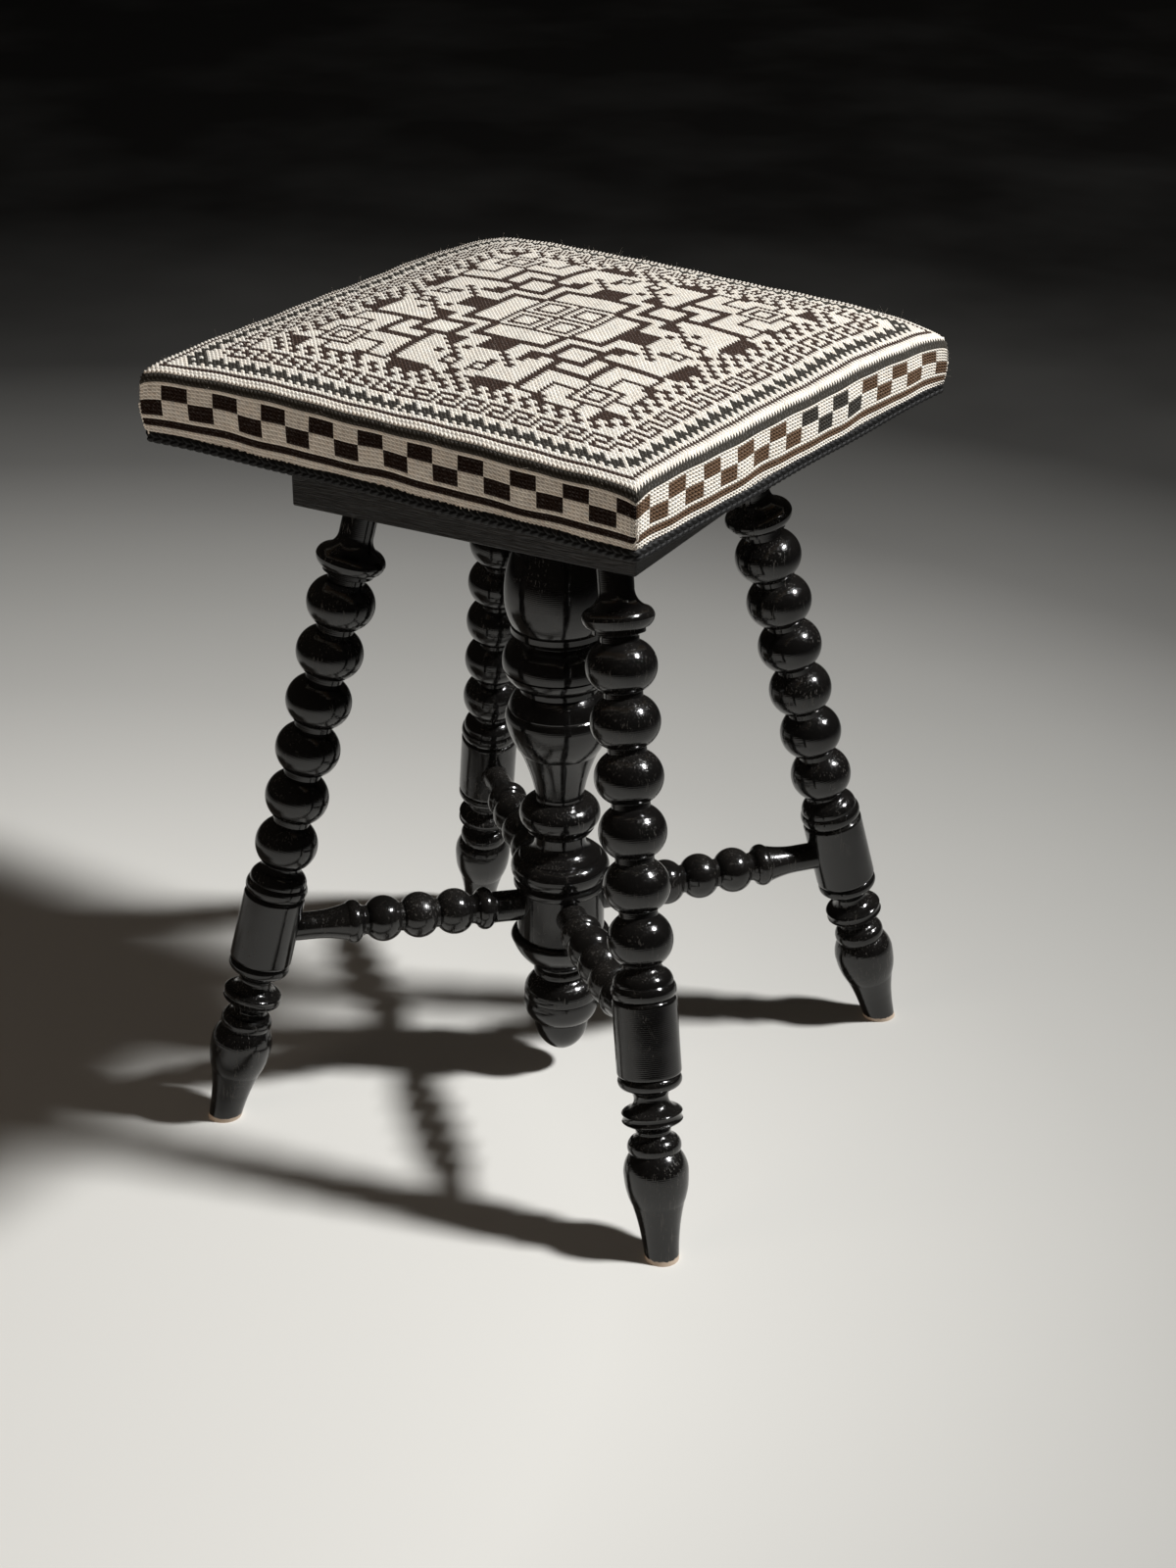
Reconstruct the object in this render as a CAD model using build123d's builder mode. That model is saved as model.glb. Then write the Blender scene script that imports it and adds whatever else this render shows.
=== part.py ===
from build123d import *
import math
import os

os.makedirs("parts", exist_ok=True)

# A revolving piano stool of ebonised turned wood with a stuffed, needlepoint-covered seat.
# Millimetres and degrees, +Z up. The origin is on the floor under the column, and the
# base board's sides lie along X and Y, so the legs stand on the diagonals.

# Running and fixed clearances
GLUE_GAP = 0.1  # round tenons, dowels and pilot holes in wood, on the radius
METAL_GAP = 0.05  # iron seated in iron or wood, on the radius
THREAD_GAP = 0.3  # spindle thread in its nut
LOOSE_GAP = 0.3  # loose washer on its spigot, and soft layers on each other
STOP_GAP = 0.4  # left at both ends of the seat's travel
END_GAP = 1.0  # air at the bottom of a blind hole

# Base board
BOARD_SIDE = 233.0
BOARD_UNDERSIDE = 420.0  # over the floor
BOARD_THICK = 32.0
BOARD_ROUND = 1.5

# Legs: each turning row is (radius at its end, rise, bow out from the straight)
LEG_SPLAY = 14.54  # lean out from upright
LEG_INSET = 44.0  # board corner to leg axis at the underside, along the diagonal
SOLE_RADIUS = 10.5
FOOT_TURNING = (
    (12.6, 20.0, -0.3),
    (16.0, 15.0, -0.2),
    (19.8, 18.0, 0.9),
    (15.4, 15.0, 1.6),
    (14.2, 9.0, 1.7),
    (10.5, 3.0, -0.6),
    (16.6, 7.0, -1.6),
    (18.6, 1.5, 0.3),
    (18.6, 5.0, -0.9),
    (16.6, 1.5, 0.3),
    (10.5, 7.0, -1.6),
    (10.5, 1.0, 0.0),
    (17.8, 7.0, -1.8),
    (18.2, 7.0, 1.6),
)
LEG_BLOCK_RADIUS = 19.7
LEG_BLOCK_LENGTH = 48.5
BLOCK_ROUND = 2.5  # length of the rounded ends of a leg's block
BLOCK_GROOVE = 1.5  # depth of the grooves beside a leg's block
BLOCK_BOW = 0.4
SHOULDER_TURNING = ((18.4, 9.0, 1.6), (14.8, 7.0, 1.0), (11.7, 4.5, -0.8))
BEAD_PITCH = 33.0
BEAD_LOW_RADIUS = 20.0
BEAD_TOP_RADIUS = 21.4
BEAD_NECK_RADIUS = 11.7
BEAD_NECK_LENGTH = 3.0
COLLAR_TURNING = (
    (15.8, 2.0, -0.4),
    (15.8, 3.0, 0.0),
    (18.9, 0.5, 0.0),
    (21.7, 5.5, 0.6),
    (18.7, 5.0, 0.7),
)
COLLAR_HOLLOW_LENGTH = 12.0
COLLAR_HOLLOW_BOW = -2.6
LEG_NECK_RADIUS = 10.8
LEG_NECK_LENGTH = 22.0
LEG_TENON_RADIUS = 8.5
LEG_TENON_LENGTH = 22.0

# Finial and column, from the tip upwards
FINIAL_TIP = 13.0  # over the floor
FINIAL_TURNING = (
    (18.0, 25.0, 5.6),
    (19.6, 1.0, 0.0),
    (24.2, 17.0, 2.6),
    (17.2, 14.0, 2.9),
    (16.2, 1.0, 0.0),
    (16.4, 8.0, 1.6),
    (16.4, 1.0, 0.0),
)
DOWEL_RADIUS = 6.0
DOWEL_LENGTH = 36.0
DOWEL_CHAMFER = 0.8
COLUMN_FOOT_RADIUS = 16.4
COLUMN_FOOT_TURNING = ((32.8, 21.5, 2.6), (28.7, 3.0, 1.1))
COLUMN_BLOCK_RADIUS = 28.7
COLUMN_BLOCK_LENGTH = 33.5
COLUMN_TURNING = (
    (29.6, 1.0, 0.0),
    (29.6, 5.5, 1.1),
    (29.0, 1.0, 0.0),
    (27.0, 15.5, 4.3),
    (26.4, 1.0, 0.0),
    (16.6, 11.0, -3.0),
    (16.6, 4.0, 0.0),
    (22.5, 4.5, 1.0),
    (21.8, 1.0, 0.0),
    (16.0, 19.0, 7.4),
    (15.5, 3.0, -0.2),
    (25.6, 32.0, -1.2),
    (34.7, 23.5, 1.6),
    (33.2, 6.0, 0.4),
    (32.5, 0.7, 0.0),
    (32.6, 0.7, 0.0),
    (26.5, 11.1, 0.8),
    (25.4, 1.0, 0.0),
    (25.4, 3.0, 0.0),
    (27.5, 1.0, 0.0),
    (35.2, 10.0, 1.2),
    (34.4, 0.7, 0.0),
    (35.7, 0.8, 0.0),
    (26.5, 18.5, 3.5),
    (25.4, 1.0, 0.0),
    (30.5, 5.0, -1.2),
    (30.6, 3.5, 0.0),
    (29.8, 0.8, 0.0),
    (34.3, 18.7, 1.2),
    (28.0, 31.0, 1.8),
    (23.0, 12.0, 0.8),
    (23.0, 4.0, 0.0),
    (28.0, 8.0, -2.0),
    (28.0, 2.0, 0.0),
    (28.0, 9.0, 2.4),
    (30.5, 1.0, 0.0),
    (30.5, 9.0, 0.0),
)
SPIGOT_RADIUS = 26.0  # column's tenon in the board's underside
SPIGOT_LENGTH = 12.0

# Stretchers between the column's block and the legs' blocks
COLUMN_MORTISE_UP = 21.0  # column block's lower end to the stretcher axis
LEG_MORTISE_UP = 21.5  # leg block's lower end to the stretcher axis
STRETCHER_ENTRY = 14.0  # depth in both blocks
INNER_SHANK_RADIUS = 10.2
INNER_SHANK_LENGTH = 16.0  # seen between the column and the first ring
OUTER_SHANK_RADIUS = 9.0
OUTER_SHANK_LENGTH = 10.0  # seen between the leg and the trumpet
TRUMPET_LENGTH = 22.0
TRUMPET_BOW = -0.9
RING_RADIUS = 12.2  # at a ring's edges
RING_LENGTH = 8.5
RING_BOW = 1.8
RING_SLOPE = 3.0  # length of the hollows beside a ring
RING_HOLLOW = -0.4
STRETCHER_BEAD_PITCH = 23.7
STRETCHER_BEAD_RADIUS = 15.0
STRETCHER_NECK_RADIUS = 9.4
STRETCHER_NECK_LENGTH = 2.0

# Screw that raises the seat
PITCH = 10.0
TURNS = 10.0
SPINDLE_CORE_RADIUS = 9.6
SPINDLE_THREAD_RADIUS = 12.5
THREAD_ROOT_HALF = 3.0  # half the thread's width at the core
THREAD_CREST_HALF = 2.0
THREAD_SINK = 0.6  # how deep the thread's foot lies in the core
END_SPIGOT_RADIUS = 7.0
WASHER_RADIUS = 15.0
WASHER_THICK = 5.0
BORE_AIR = 1.0  # round the washer
BORE_SPARE = 5.0  # below the spindle at its lowest
END_SCREW_RADIUS = 4.0
END_SCREW_DEPTH = 22.0
END_SCREW_HEAD_RADIUS = 12.0
END_SCREW_HEAD = 4.0
NUT_LENGTH = 46.0
NUT_RADIUS = 18.0
NUT_FLANGE_RADIUS = 36.0
NUT_FLANGE_THICK = 5.0
NUT_SCREW_CIRCLE_RADIUS = 27.0
NUT_SCREWS = 4
NUT_SCREW_START = 45.0  # azimuth of the first nut screw

# Seat, as it stands turned on its screw
SEAT_TURN = -5.4
SEAT_GAP = 10.0  # base board to the seat's underside at its lowest
SEAT_SIDE = 343.5
SEAT_EDGE_HEIGHT = 38.0  # underside to the top edge
SEAT_CROWN = 20.0
CROWN_BOW = 5.0  # how far the crown bows up from a straight slope
SEAT_DRAW_IN = 2.6  # sides pulled in at the bottom
WALL_BOW = 1.0
SEAT_CORNER = 10.0
EDGE_ROUND = 7.0
EDGE_BOW = 1.2
COVER_THICK = 1.8
HEM_WIDTH = 20.0
SEAT_BOARD_THICK = 18.0
GIMP_HEIGHT = 9.0
GIMP_THICK = 2.0
FLANGE_THICK = 5.0
HUB_RADIUS = 21.0
PLATE_RADIUS = 27.0
ARM_LENGTH = 76.0
ARM_WIDTH = 26.0
ARM_SCREW_CIRCLE_RADIUS = 64.0

# Wood screws and tacks
SCREW_RADIUS = 2.2
SCREW_LENGTH = 19.0
SCREW_HEAD_RADIUS = 4.4
SCREW_POINT = 5.0
SLOT_WIDTH = 1.2
SLOT_DEPTH = 0.9
TACK_SPACING = 34.0
TACK_HEAD_RADIUS = 3.6
TACK_HEAD = 1.2
TACK_RADIUS = 0.9
TACK_LENGTH = 11.0

# Heights that follow
BOARD_TOP = BOARD_UNDERSIDE + BOARD_THICK
SEAT_UNDERSIDE = BOARD_TOP + SEAT_GAP
SEAT_BOARD_LOW = SEAT_UNDERSIDE + COVER_THICK
STUFFING_LOW = SEAT_BOARD_LOW + SEAT_BOARD_THICK
HUB_LOW = BOARD_TOP + STOP_GAP
NUT_LOW = BOARD_TOP - NUT_LENGTH
WASHER_TOP = NUT_LOW - STOP_GAP - PITCH * TURNS
WASHER_LOW = WASHER_TOP - WASHER_THICK
BORE_LOW = WASHER_LOW - LOOSE_GAP - END_SCREW_HEAD - BORE_SPARE
BORE_RADIUS = WASHER_RADIUS + BORE_AIR
FINIAL_TOP = FINIAL_TIP + sum(row[1] for row in FINIAL_TURNING)
COLUMN_BLOCK_LOW = FINIAL_TOP + sum(row[1] for row in COLUMN_FOOT_TURNING)
COLUMN_BLOCK_TOP = COLUMN_BLOCK_LOW + COLUMN_BLOCK_LENGTH
FOOT_LENGTH = sum(row[1] for row in FOOT_TURNING)
LEG_LENGTH = BOARD_UNDERSIDE / math.cos(math.radians(LEG_SPLAY))
LEG_TOP_CIRCLE = BOARD_SIDE / math.sqrt(2) - LEG_INSET
FOOT_CIRCLE = LEG_TOP_CIRCLE + BOARD_UNDERSIDE * math.tan(math.radians(LEG_SPLAY))

LEG_AZIMUTHS = {"front_right": -45.0, "back_right": 45.0, "back_left": 135.0, "front_left": 225.0}
QUARTER_TURNS = (0.0, 90.0, 180.0, 270.0)
SEAT_PLANE = Plane.XY.rotated((0, 0, SEAT_TURN))


def turned_outline(radius, height, rows):
    """Half of a turning, drawn from its foot upwards and closed along the axis."""
    foot = (0, height)
    with BuildSketch() as outline:
        with BuildLine():
            if radius > 0:
                Line(foot, (radius, height))
            for end_radius, rise, bow in rows:
                low = (radius, height)
                high = (end_radius, height + rise)
                if bow == 0:
                    Line(low, high)
                else:
                    SagittaArc(low, high, -bow)
                radius, height = high
            Polyline((radius, height), (0, height), foot)
        make_face()
    return outline.sketch


def bead_rows(space, pitch, low_radius, top_radius, neck_radius, neck_length):
    """Rows for as many round beads as fit the space, each followed by a short neck."""
    count = max(1, round(space / pitch))
    step = space / count
    rows = []
    for number in range(count):
        share = number / max(1, count - 1)
        bead_radius = low_radius + (top_radius - low_radius) * share
        rows.append((neck_radius, step - neck_length, bead_radius - neck_radius))
        rows.append((neck_radius, neck_length, 0.0))
    return rows


def leg_axis(azimuth):
    """Axis of a leg, from the middle of its sole towards the board."""
    outward = Vector(1, 0, 0).rotate(Axis.Z, azimuth)
    lean = math.radians(LEG_SPLAY)
    return Axis(outward * FOOT_CIRCLE, Vector(0, 0, math.cos(lean)) - outward * math.sin(lean))


def stretcher_ends(azimuth):
    """Points where a stretcher's axis meets the column's axis and a leg's axis."""
    leg = leg_axis(azimuth)
    inner = Vector(0, 0, COLUMN_BLOCK_LOW + COLUMN_MORTISE_UP)
    outer = leg.position + leg.direction * (FOOT_LENGTH + LEG_MORTISE_UP)
    return inner, outer


def side_plane(axis):
    """Plane for the outline of a turning: X is its radius and Y runs along its axis."""
    across = axis.direction.cross(Vector(0, 0, 1))
    return Plane(origin=axis.position, x_dir=axis.direction.cross(across), z_dir=across)


def stretched(rows, length):
    """The rows with their rises drawn out alike to fill a length."""
    total = sum(row[1] for row in rows)
    return [(radius, rise * length / total, bow) for radius, rise, bow in rows]


def thread_rod(core_radius, thread_radius, flank_gap, start, turns, low, high):
    """A threaded rod: a helical ridge swept round a plain core."""
    depth = thread_radius - core_radius
    root = THREAD_ROOT_HALF + flank_gap
    crest = THREAD_CREST_HALF + flank_gap
    with BuildPart() as rod:
        with BuildLine():
            path = Helix(pitch=PITCH, height=turns * PITCH, radius=core_radius, center=(0, 0, start))
        with BuildSketch(Plane(origin=(core_radius, 0, start), x_dir=(1, 0, 0), z_dir=(0, -1, 0))):
            with BuildLine():
                Polyline(
                    (-THREAD_SINK, -root),
                    (depth, -crest),
                    (depth, crest),
                    (-THREAD_SINK, root),
                    close=True,
                )
            make_face()
        sweep(path=path, is_frenet=True)
        with BuildSketch(Plane.XY.offset(low)):
            Circle(core_radius)
        extrude(amount=high - low)
    return rod.part


def wood_screw():
    """A countersunk, slotted wood screw, head up, with its flat top at the origin."""
    with BuildPart() as screw:
        with BuildSketch(Plane.XZ):
            with BuildLine():
                Polyline(
                    (0, 0),
                    (SCREW_HEAD_RADIUS, 0),
                    (SCREW_RADIUS, SCREW_RADIUS - SCREW_HEAD_RADIUS),
                    (SCREW_RADIUS, SCREW_POINT - SCREW_LENGTH),
                    (0, -SCREW_LENGTH),
                    close=True,
                )
            make_face()
        revolve(axis=Axis.Z)
        with BuildSketch():
            Rectangle(2 * SCREW_HEAD_RADIUS, SLOT_WIDTH)
        extrude(amount=-SLOT_DEPTH, mode=Mode.SUBTRACT)
    return screw.part


def screw_tool():
    """What a wood screw takes out of the pieces that it passes: head, shank and end gap."""
    with BuildPart() as tool:
        with BuildSketch(Plane.XZ):
            with BuildLine():
                Polyline(
                    (0, 0),
                    (SCREW_HEAD_RADIUS + GLUE_GAP, 0),
                    (SCREW_RADIUS + GLUE_GAP, SCREW_RADIUS - SCREW_HEAD_RADIUS),
                    (SCREW_RADIUS + GLUE_GAP, -SCREW_LENGTH - END_GAP),
                    (0, -SCREW_LENGTH - END_GAP),
                    close=True,
                )
            make_face()
        revolve(axis=Axis.Z)
    return tool.part


def cushion_side(grow, lift):
    """Half of the seat's outline from the side: drawn-in wall, rounded edge and crown."""
    half = SEAT_SIDE / 2 + grow
    edge = SEAT_EDGE_HEIGHT + grow
    foot = (half - SEAT_DRAW_IN, lift)
    widest = (half, edge - EDGE_ROUND)
    brow = (half - EDGE_ROUND / 2, edge)
    crown = (0, edge + SEAT_CROWN)
    with BuildSketch() as outline:
        with BuildLine():
            Line((0, lift), foot)
            SagittaArc(foot, widest, -WALL_BOW)
            SagittaArc(widest, brow, -EDGE_BOW)
            SagittaArc(brow, crown, -CROWN_BOW)
            Line(crown, (0, lift))
        make_face()
        mirror(about=Plane.YZ)
    return outline.sketch


def cushion_form(grow, lift):
    """The seat's stuffed form, grown by a layer, with its underside lifted."""
    outline = cushion_side(grow, lift)
    low = SEAT_PLANE.offset(SEAT_UNDERSIDE)
    along = Plane(low.origin, x_dir=low.x_dir, z_dir=low.y_dir * -1)
    across = Plane(low.origin, x_dir=low.y_dir, z_dir=low.x_dir)
    side = SEAT_SIDE + 2 * grow
    with BuildPart() as form:
        with BuildSketch(along):
            add(outline)
        extrude(amount=SEAT_SIDE, both=True)
        with BuildSketch(across):
            add(outline)
        extrude(amount=SEAT_SIDE, both=True, mode=Mode.INTERSECT)
        with BuildSketch(low):
            RectangleRounded(side, side, SEAT_CORNER + grow)
        extrude(amount=2 * SEAT_SIDE, mode=Mode.INTERSECT)
    return form.part


# Base board: mortises for the legs and the column, and a seat for the nut
with BuildPart() as top_board:
    with BuildSketch(Plane.XY.offset(BOARD_UNDERSIDE)):
        Rectangle(BOARD_SIDE, BOARD_SIDE)
    extrude(amount=BOARD_THICK)
    fillet(top_board.edges(), radius=BOARD_ROUND)
    for azimuth in LEG_AZIMUTHS.values():
        leg_line = leg_axis(azimuth)
        below_board = leg_line.position + leg_line.direction * (LEG_LENGTH - LEG_TENON_RADIUS)
        with BuildSketch(Plane(below_board, z_dir=leg_line.direction)):
            Circle(LEG_TENON_RADIUS + GLUE_GAP)
        extrude(amount=LEG_TENON_RADIUS + LEG_TENON_LENGTH + END_GAP, mode=Mode.SUBTRACT)
    with BuildSketch(Plane.XY.offset(BOARD_UNDERSIDE)):
        Circle(SPIGOT_RADIUS + GLUE_GAP)
    extrude(amount=SPIGOT_LENGTH + END_GAP, mode=Mode.SUBTRACT)
    with BuildSketch(Plane.XY.offset(BOARD_TOP)):
        Circle(NUT_FLANGE_RADIUS + METAL_GAP)
    extrude(amount=-NUT_FLANGE_THICK, mode=Mode.SUBTRACT)
    with BuildSketch(Plane.XY.offset(BOARD_TOP)):
        Circle(NUT_RADIUS + METAL_GAP)
    extrude(amount=-BOARD_THICK, mode=Mode.SUBTRACT)
    pilot = screw_tool()
    with Locations(Plane.XY.offset(BOARD_TOP)):
        with PolarLocations(NUT_SCREW_CIRCLE_RADIUS, NUT_SCREWS, start_angle=NUT_SCREW_START):
            add(pilot, mode=Mode.SUBTRACT)
top_board.part.label = "top_board"
export_step(top_board.part, "parts/top_board.step")

# Legs: turned foot, stretcher block, beads, collar and neck, with a tenon in the board
bead_space = (
    LEG_LENGTH
    - LEG_NECK_LENGTH
    - COLLAR_HOLLOW_LENGTH
    - sum(row[1] for row in COLLAR_TURNING)
    - sum(row[1] for row in SHOULDER_TURNING)
    - LEG_BLOCK_LENGTH
    - FOOT_LENGTH
)
sole_slant = 2 * SOLE_RADIUS * math.tan(math.radians(LEG_SPLAY))
neck_slant = LEG_NECK_RADIUS * math.tan(math.radians(LEG_SPLAY))
groove_radius = LEG_BLOCK_RADIUS - BLOCK_GROOVE
leg_rows = [
    (SOLE_RADIUS, sole_slant, 0.0),
    *FOOT_TURNING,
    (LEG_BLOCK_RADIUS, BLOCK_ROUND, BLOCK_BOW),
    (LEG_BLOCK_RADIUS, LEG_BLOCK_LENGTH - 2 * BLOCK_ROUND, 0.0),
    (groove_radius, BLOCK_ROUND, BLOCK_BOW),
    *SHOULDER_TURNING,
    *bead_rows(bead_space, BEAD_PITCH, BEAD_LOW_RADIUS, BEAD_TOP_RADIUS, BEAD_NECK_RADIUS, BEAD_NECK_LENGTH),
    *COLLAR_TURNING,
    (LEG_NECK_RADIUS, COLLAR_HOLLOW_LENGTH, COLLAR_HOLLOW_BOW),
    (LEG_NECK_RADIUS, LEG_NECK_LENGTH + neck_slant, 0.0),
]
leg_outline = turned_outline(SOLE_RADIUS, -sole_slant, leg_rows)
for side_name, azimuth in LEG_AZIMUTHS.items():
    leg_line = leg_axis(azimuth)
    inner_end, outer_end = stretcher_ends(azimuth)
    inward = (inner_end - outer_end).normalized()
    with BuildPart() as leg:
        with BuildSketch(side_plane(leg_line)):
            add(leg_outline)
        revolve(axis=leg_line)
        split(bisect_by=Plane.XY, keep=Keep.TOP)
        split(bisect_by=Plane.XY.offset(BOARD_UNDERSIDE), keep=Keep.BOTTOM)
        neck_foot = leg_line.position + leg_line.direction * (LEG_LENGTH - LEG_NECK_LENGTH)
        with BuildSketch(Plane(neck_foot, z_dir=leg_line.direction)):
            Circle(LEG_TENON_RADIUS)
        extrude(amount=LEG_NECK_LENGTH + LEG_TENON_LENGTH)
        mortise_end = outer_end + inward * (LEG_BLOCK_RADIUS - STRETCHER_ENTRY - END_GAP)
        with BuildSketch(Plane(mortise_end, z_dir=inward)):
            Circle(OUTER_SHANK_RADIUS + GLUE_GAP)
        extrude(amount=LEG_BLOCK_RADIUS + STRETCHER_ENTRY, mode=Mode.SUBTRACT)
    leg.part.label = f"{side_name}_leg"
    export_step(leg.part, f"parts/{side_name}_leg.step")

# Column: turned and bored from the top for the spindle
column_rows = [
    *COLUMN_FOOT_TURNING,
    (COLUMN_BLOCK_RADIUS, COLUMN_BLOCK_LENGTH, 0.0),
    *stretched(COLUMN_TURNING, BOARD_UNDERSIDE - COLUMN_BLOCK_TOP),
    (SPIGOT_RADIUS, 0.0, 0.0),
    (SPIGOT_RADIUS, SPIGOT_LENGTH, 0.0),
]
column_outline = turned_outline(COLUMN_FOOT_RADIUS, FINIAL_TOP, column_rows)
with BuildPart() as column:
    with BuildSketch(Plane.XZ):
        add(column_outline)
    revolve(axis=Axis.Z)
    with BuildSketch(Plane.XY.offset(BORE_LOW)):
        Circle(BORE_RADIUS)
    extrude(amount=BOARD_TOP - BORE_LOW, mode=Mode.SUBTRACT)
    with BuildSketch(Plane.XY.offset(NUT_LOW - END_GAP)):
        Circle(NUT_RADIUS + METAL_GAP)
    extrude(amount=NUT_LENGTH, mode=Mode.SUBTRACT)
    with BuildSketch(Plane.XY.offset(FINIAL_TOP)):
        Circle(DOWEL_RADIUS + GLUE_GAP)
    extrude(amount=DOWEL_LENGTH / 2 + END_GAP, mode=Mode.SUBTRACT)
    for azimuth in LEG_AZIMUTHS.values():
        inner_end, outer_end = stretcher_ends(azimuth)
        outward = (outer_end - inner_end).normalized()
        mortise_end = inner_end + outward * (COLUMN_BLOCK_RADIUS - STRETCHER_ENTRY - END_GAP)
        with BuildSketch(Plane(mortise_end, z_dir=outward)):
            Circle(INNER_SHANK_RADIUS + GLUE_GAP)
        extrude(amount=COLUMN_BLOCK_RADIUS, mode=Mode.SUBTRACT)
column.part.label = "column"
export_step(column.part, "parts/column.step")

# Finial under the column, on a dowel
finial_outline = turned_outline(0, FINIAL_TIP, FINIAL_TURNING)
with BuildPart() as drop_finial:
    with BuildSketch(Plane.XZ):
        add(finial_outline)
    revolve(axis=Axis.Z)
    with BuildSketch(Plane.XY.offset(FINIAL_TOP)):
        Circle(DOWEL_RADIUS + GLUE_GAP)
    extrude(amount=-DOWEL_LENGTH / 2 - END_GAP, mode=Mode.SUBTRACT)
drop_finial.part.label = "drop_finial"
export_step(drop_finial.part, "parts/drop_finial.step")

with BuildPart() as finial_dowel:
    with BuildSketch(Plane.XY.offset(FINIAL_TOP - DOWEL_LENGTH / 2)):
        Circle(DOWEL_RADIUS)
    extrude(amount=DOWEL_LENGTH)
    chamfer(finial_dowel.edges(), length=DOWEL_CHAMFER)
finial_dowel.part.label = "finial_dowel"
export_step(finial_dowel.part, "parts/finial_dowel.step")

# Stretchers: plain shanks in the two blocks, a ring near each end and beads between
for side_name, azimuth in LEG_AZIMUTHS.items():
    inner_end, outer_end = stretcher_ends(azimuth)
    run = Axis(inner_end, outer_end - inner_end)
    start = COLUMN_BLOCK_RADIUS - STRETCHER_ENTRY
    length = (outer_end - inner_end).length - start - (LEG_BLOCK_RADIUS - STRETCHER_ENTRY)
    inner_rows = [
        (INNER_SHANK_RADIUS, STRETCHER_ENTRY + INNER_SHANK_LENGTH, 0.0),
        (RING_RADIUS, RING_SLOPE, RING_HOLLOW),
        (RING_RADIUS, RING_LENGTH, RING_BOW),
        (STRETCHER_NECK_RADIUS, RING_SLOPE, RING_HOLLOW),
        (STRETCHER_NECK_RADIUS, STRETCHER_NECK_LENGTH, 0.0),
    ]
    outer_rows = [
        (RING_RADIUS, RING_SLOPE, RING_HOLLOW),
        (RING_RADIUS, RING_LENGTH, RING_BOW),
        (OUTER_SHANK_RADIUS, TRUMPET_LENGTH, TRUMPET_BOW),
        (OUTER_SHANK_RADIUS, OUTER_SHANK_LENGTH + STRETCHER_ENTRY, 0.0),
    ]
    middle = length - sum(row[1] for row in inner_rows) - sum(row[1] for row in outer_rows)
    middle_rows = bead_rows(
        middle,
        STRETCHER_BEAD_PITCH,
        STRETCHER_BEAD_RADIUS,
        STRETCHER_BEAD_RADIUS,
        STRETCHER_NECK_RADIUS,
        STRETCHER_NECK_LENGTH,
    )
    stretcher_outline = turned_outline(INNER_SHANK_RADIUS, start, [*inner_rows, *middle_rows, *outer_rows])
    with BuildPart() as stretcher:
        with BuildSketch(side_plane(run)):
            add(stretcher_outline)
        revolve(axis=run)
    stretcher.part.label = f"{side_name}_stretcher"
    export_step(stretcher.part, f"parts/{side_name}_stretcher.step")

# Nut let into the base board, with its wood screws
thread_start = WASHER_TOP + THREAD_ROOT_HALF + STOP_GAP
thread_turns = (HUB_LOW - THREAD_ROOT_HALF - STOP_GAP - thread_start) / PITCH
skipped_turns = math.floor((NUT_LOW - thread_start) / PITCH) - 1
nut_turns = math.ceil(NUT_LENGTH / PITCH) + 3
tap_start = thread_start + skipped_turns * PITCH
tap = thread_rod(
    SPINDLE_CORE_RADIUS + THREAD_GAP,
    SPINDLE_THREAD_RADIUS + THREAD_GAP,
    THREAD_GAP,
    tap_start,
    nut_turns,
    tap_start - PITCH,
    tap_start + (nut_turns + 1) * PITCH,
)
with BuildPart() as spindle_nut:
    with BuildSketch(Plane.XY.offset(NUT_LOW)):
        Circle(NUT_RADIUS)
    extrude(amount=NUT_LENGTH)
    with BuildSketch(Plane.XY.offset(BOARD_TOP)):
        Circle(NUT_FLANGE_RADIUS)
    extrude(amount=-NUT_FLANGE_THICK)
    with Locations(Plane.XY.offset(BOARD_TOP)):
        with PolarLocations(NUT_SCREW_CIRCLE_RADIUS, NUT_SCREWS, start_angle=NUT_SCREW_START):
            add(pilot, mode=Mode.SUBTRACT)
    add(tap, mode=Mode.SUBTRACT)
spindle_nut.part.label = "spindle_nut"
export_step(spindle_nut.part, "parts/spindle_nut.step")

one_screw = wood_screw()
with BuildPart() as nut_screws:
    with Locations(Plane.XY.offset(BOARD_TOP)):
        with PolarLocations(NUT_SCREW_CIRCLE_RADIUS, NUT_SCREWS, start_angle=NUT_SCREW_START):
            add(one_screw)
nut_screws.part.label = "nut_screws"
export_step(nut_screws.part, "parts/nut_screws.step")

# Spindle: threaded, fast in the seat's flange, with a spigot for the stop washer
rod = thread_rod(
    SPINDLE_CORE_RADIUS,
    SPINDLE_THREAD_RADIUS,
    0.0,
    thread_start,
    thread_turns,
    WASHER_TOP,
    SEAT_BOARD_LOW,
)
with BuildPart() as seat_spindle:
    add(rod)
    with BuildSketch(Plane.XY.offset(WASHER_TOP)):
        Circle(END_SPIGOT_RADIUS)
    extrude(amount=-WASHER_THICK - LOOSE_GAP)
    with BuildSketch(Plane.XY.offset(WASHER_LOW - LOOSE_GAP)):
        Circle(END_SCREW_RADIUS + METAL_GAP)
    extrude(amount=END_SCREW_DEPTH + END_GAP, mode=Mode.SUBTRACT)
seat_spindle.part.label = "seat_spindle"
export_step(seat_spindle.part, "parts/seat_spindle.step")

with BuildPart() as stop_washer:
    with BuildSketch(Plane.XY.offset(WASHER_LOW - LOOSE_GAP / 2)):
        Circle(WASHER_RADIUS)
        Circle(END_SPIGOT_RADIUS + LOOSE_GAP, mode=Mode.SUBTRACT)
    extrude(amount=WASHER_THICK)
stop_washer.part.label = "stop_washer"
export_step(stop_washer.part, "parts/stop_washer.step")

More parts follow.
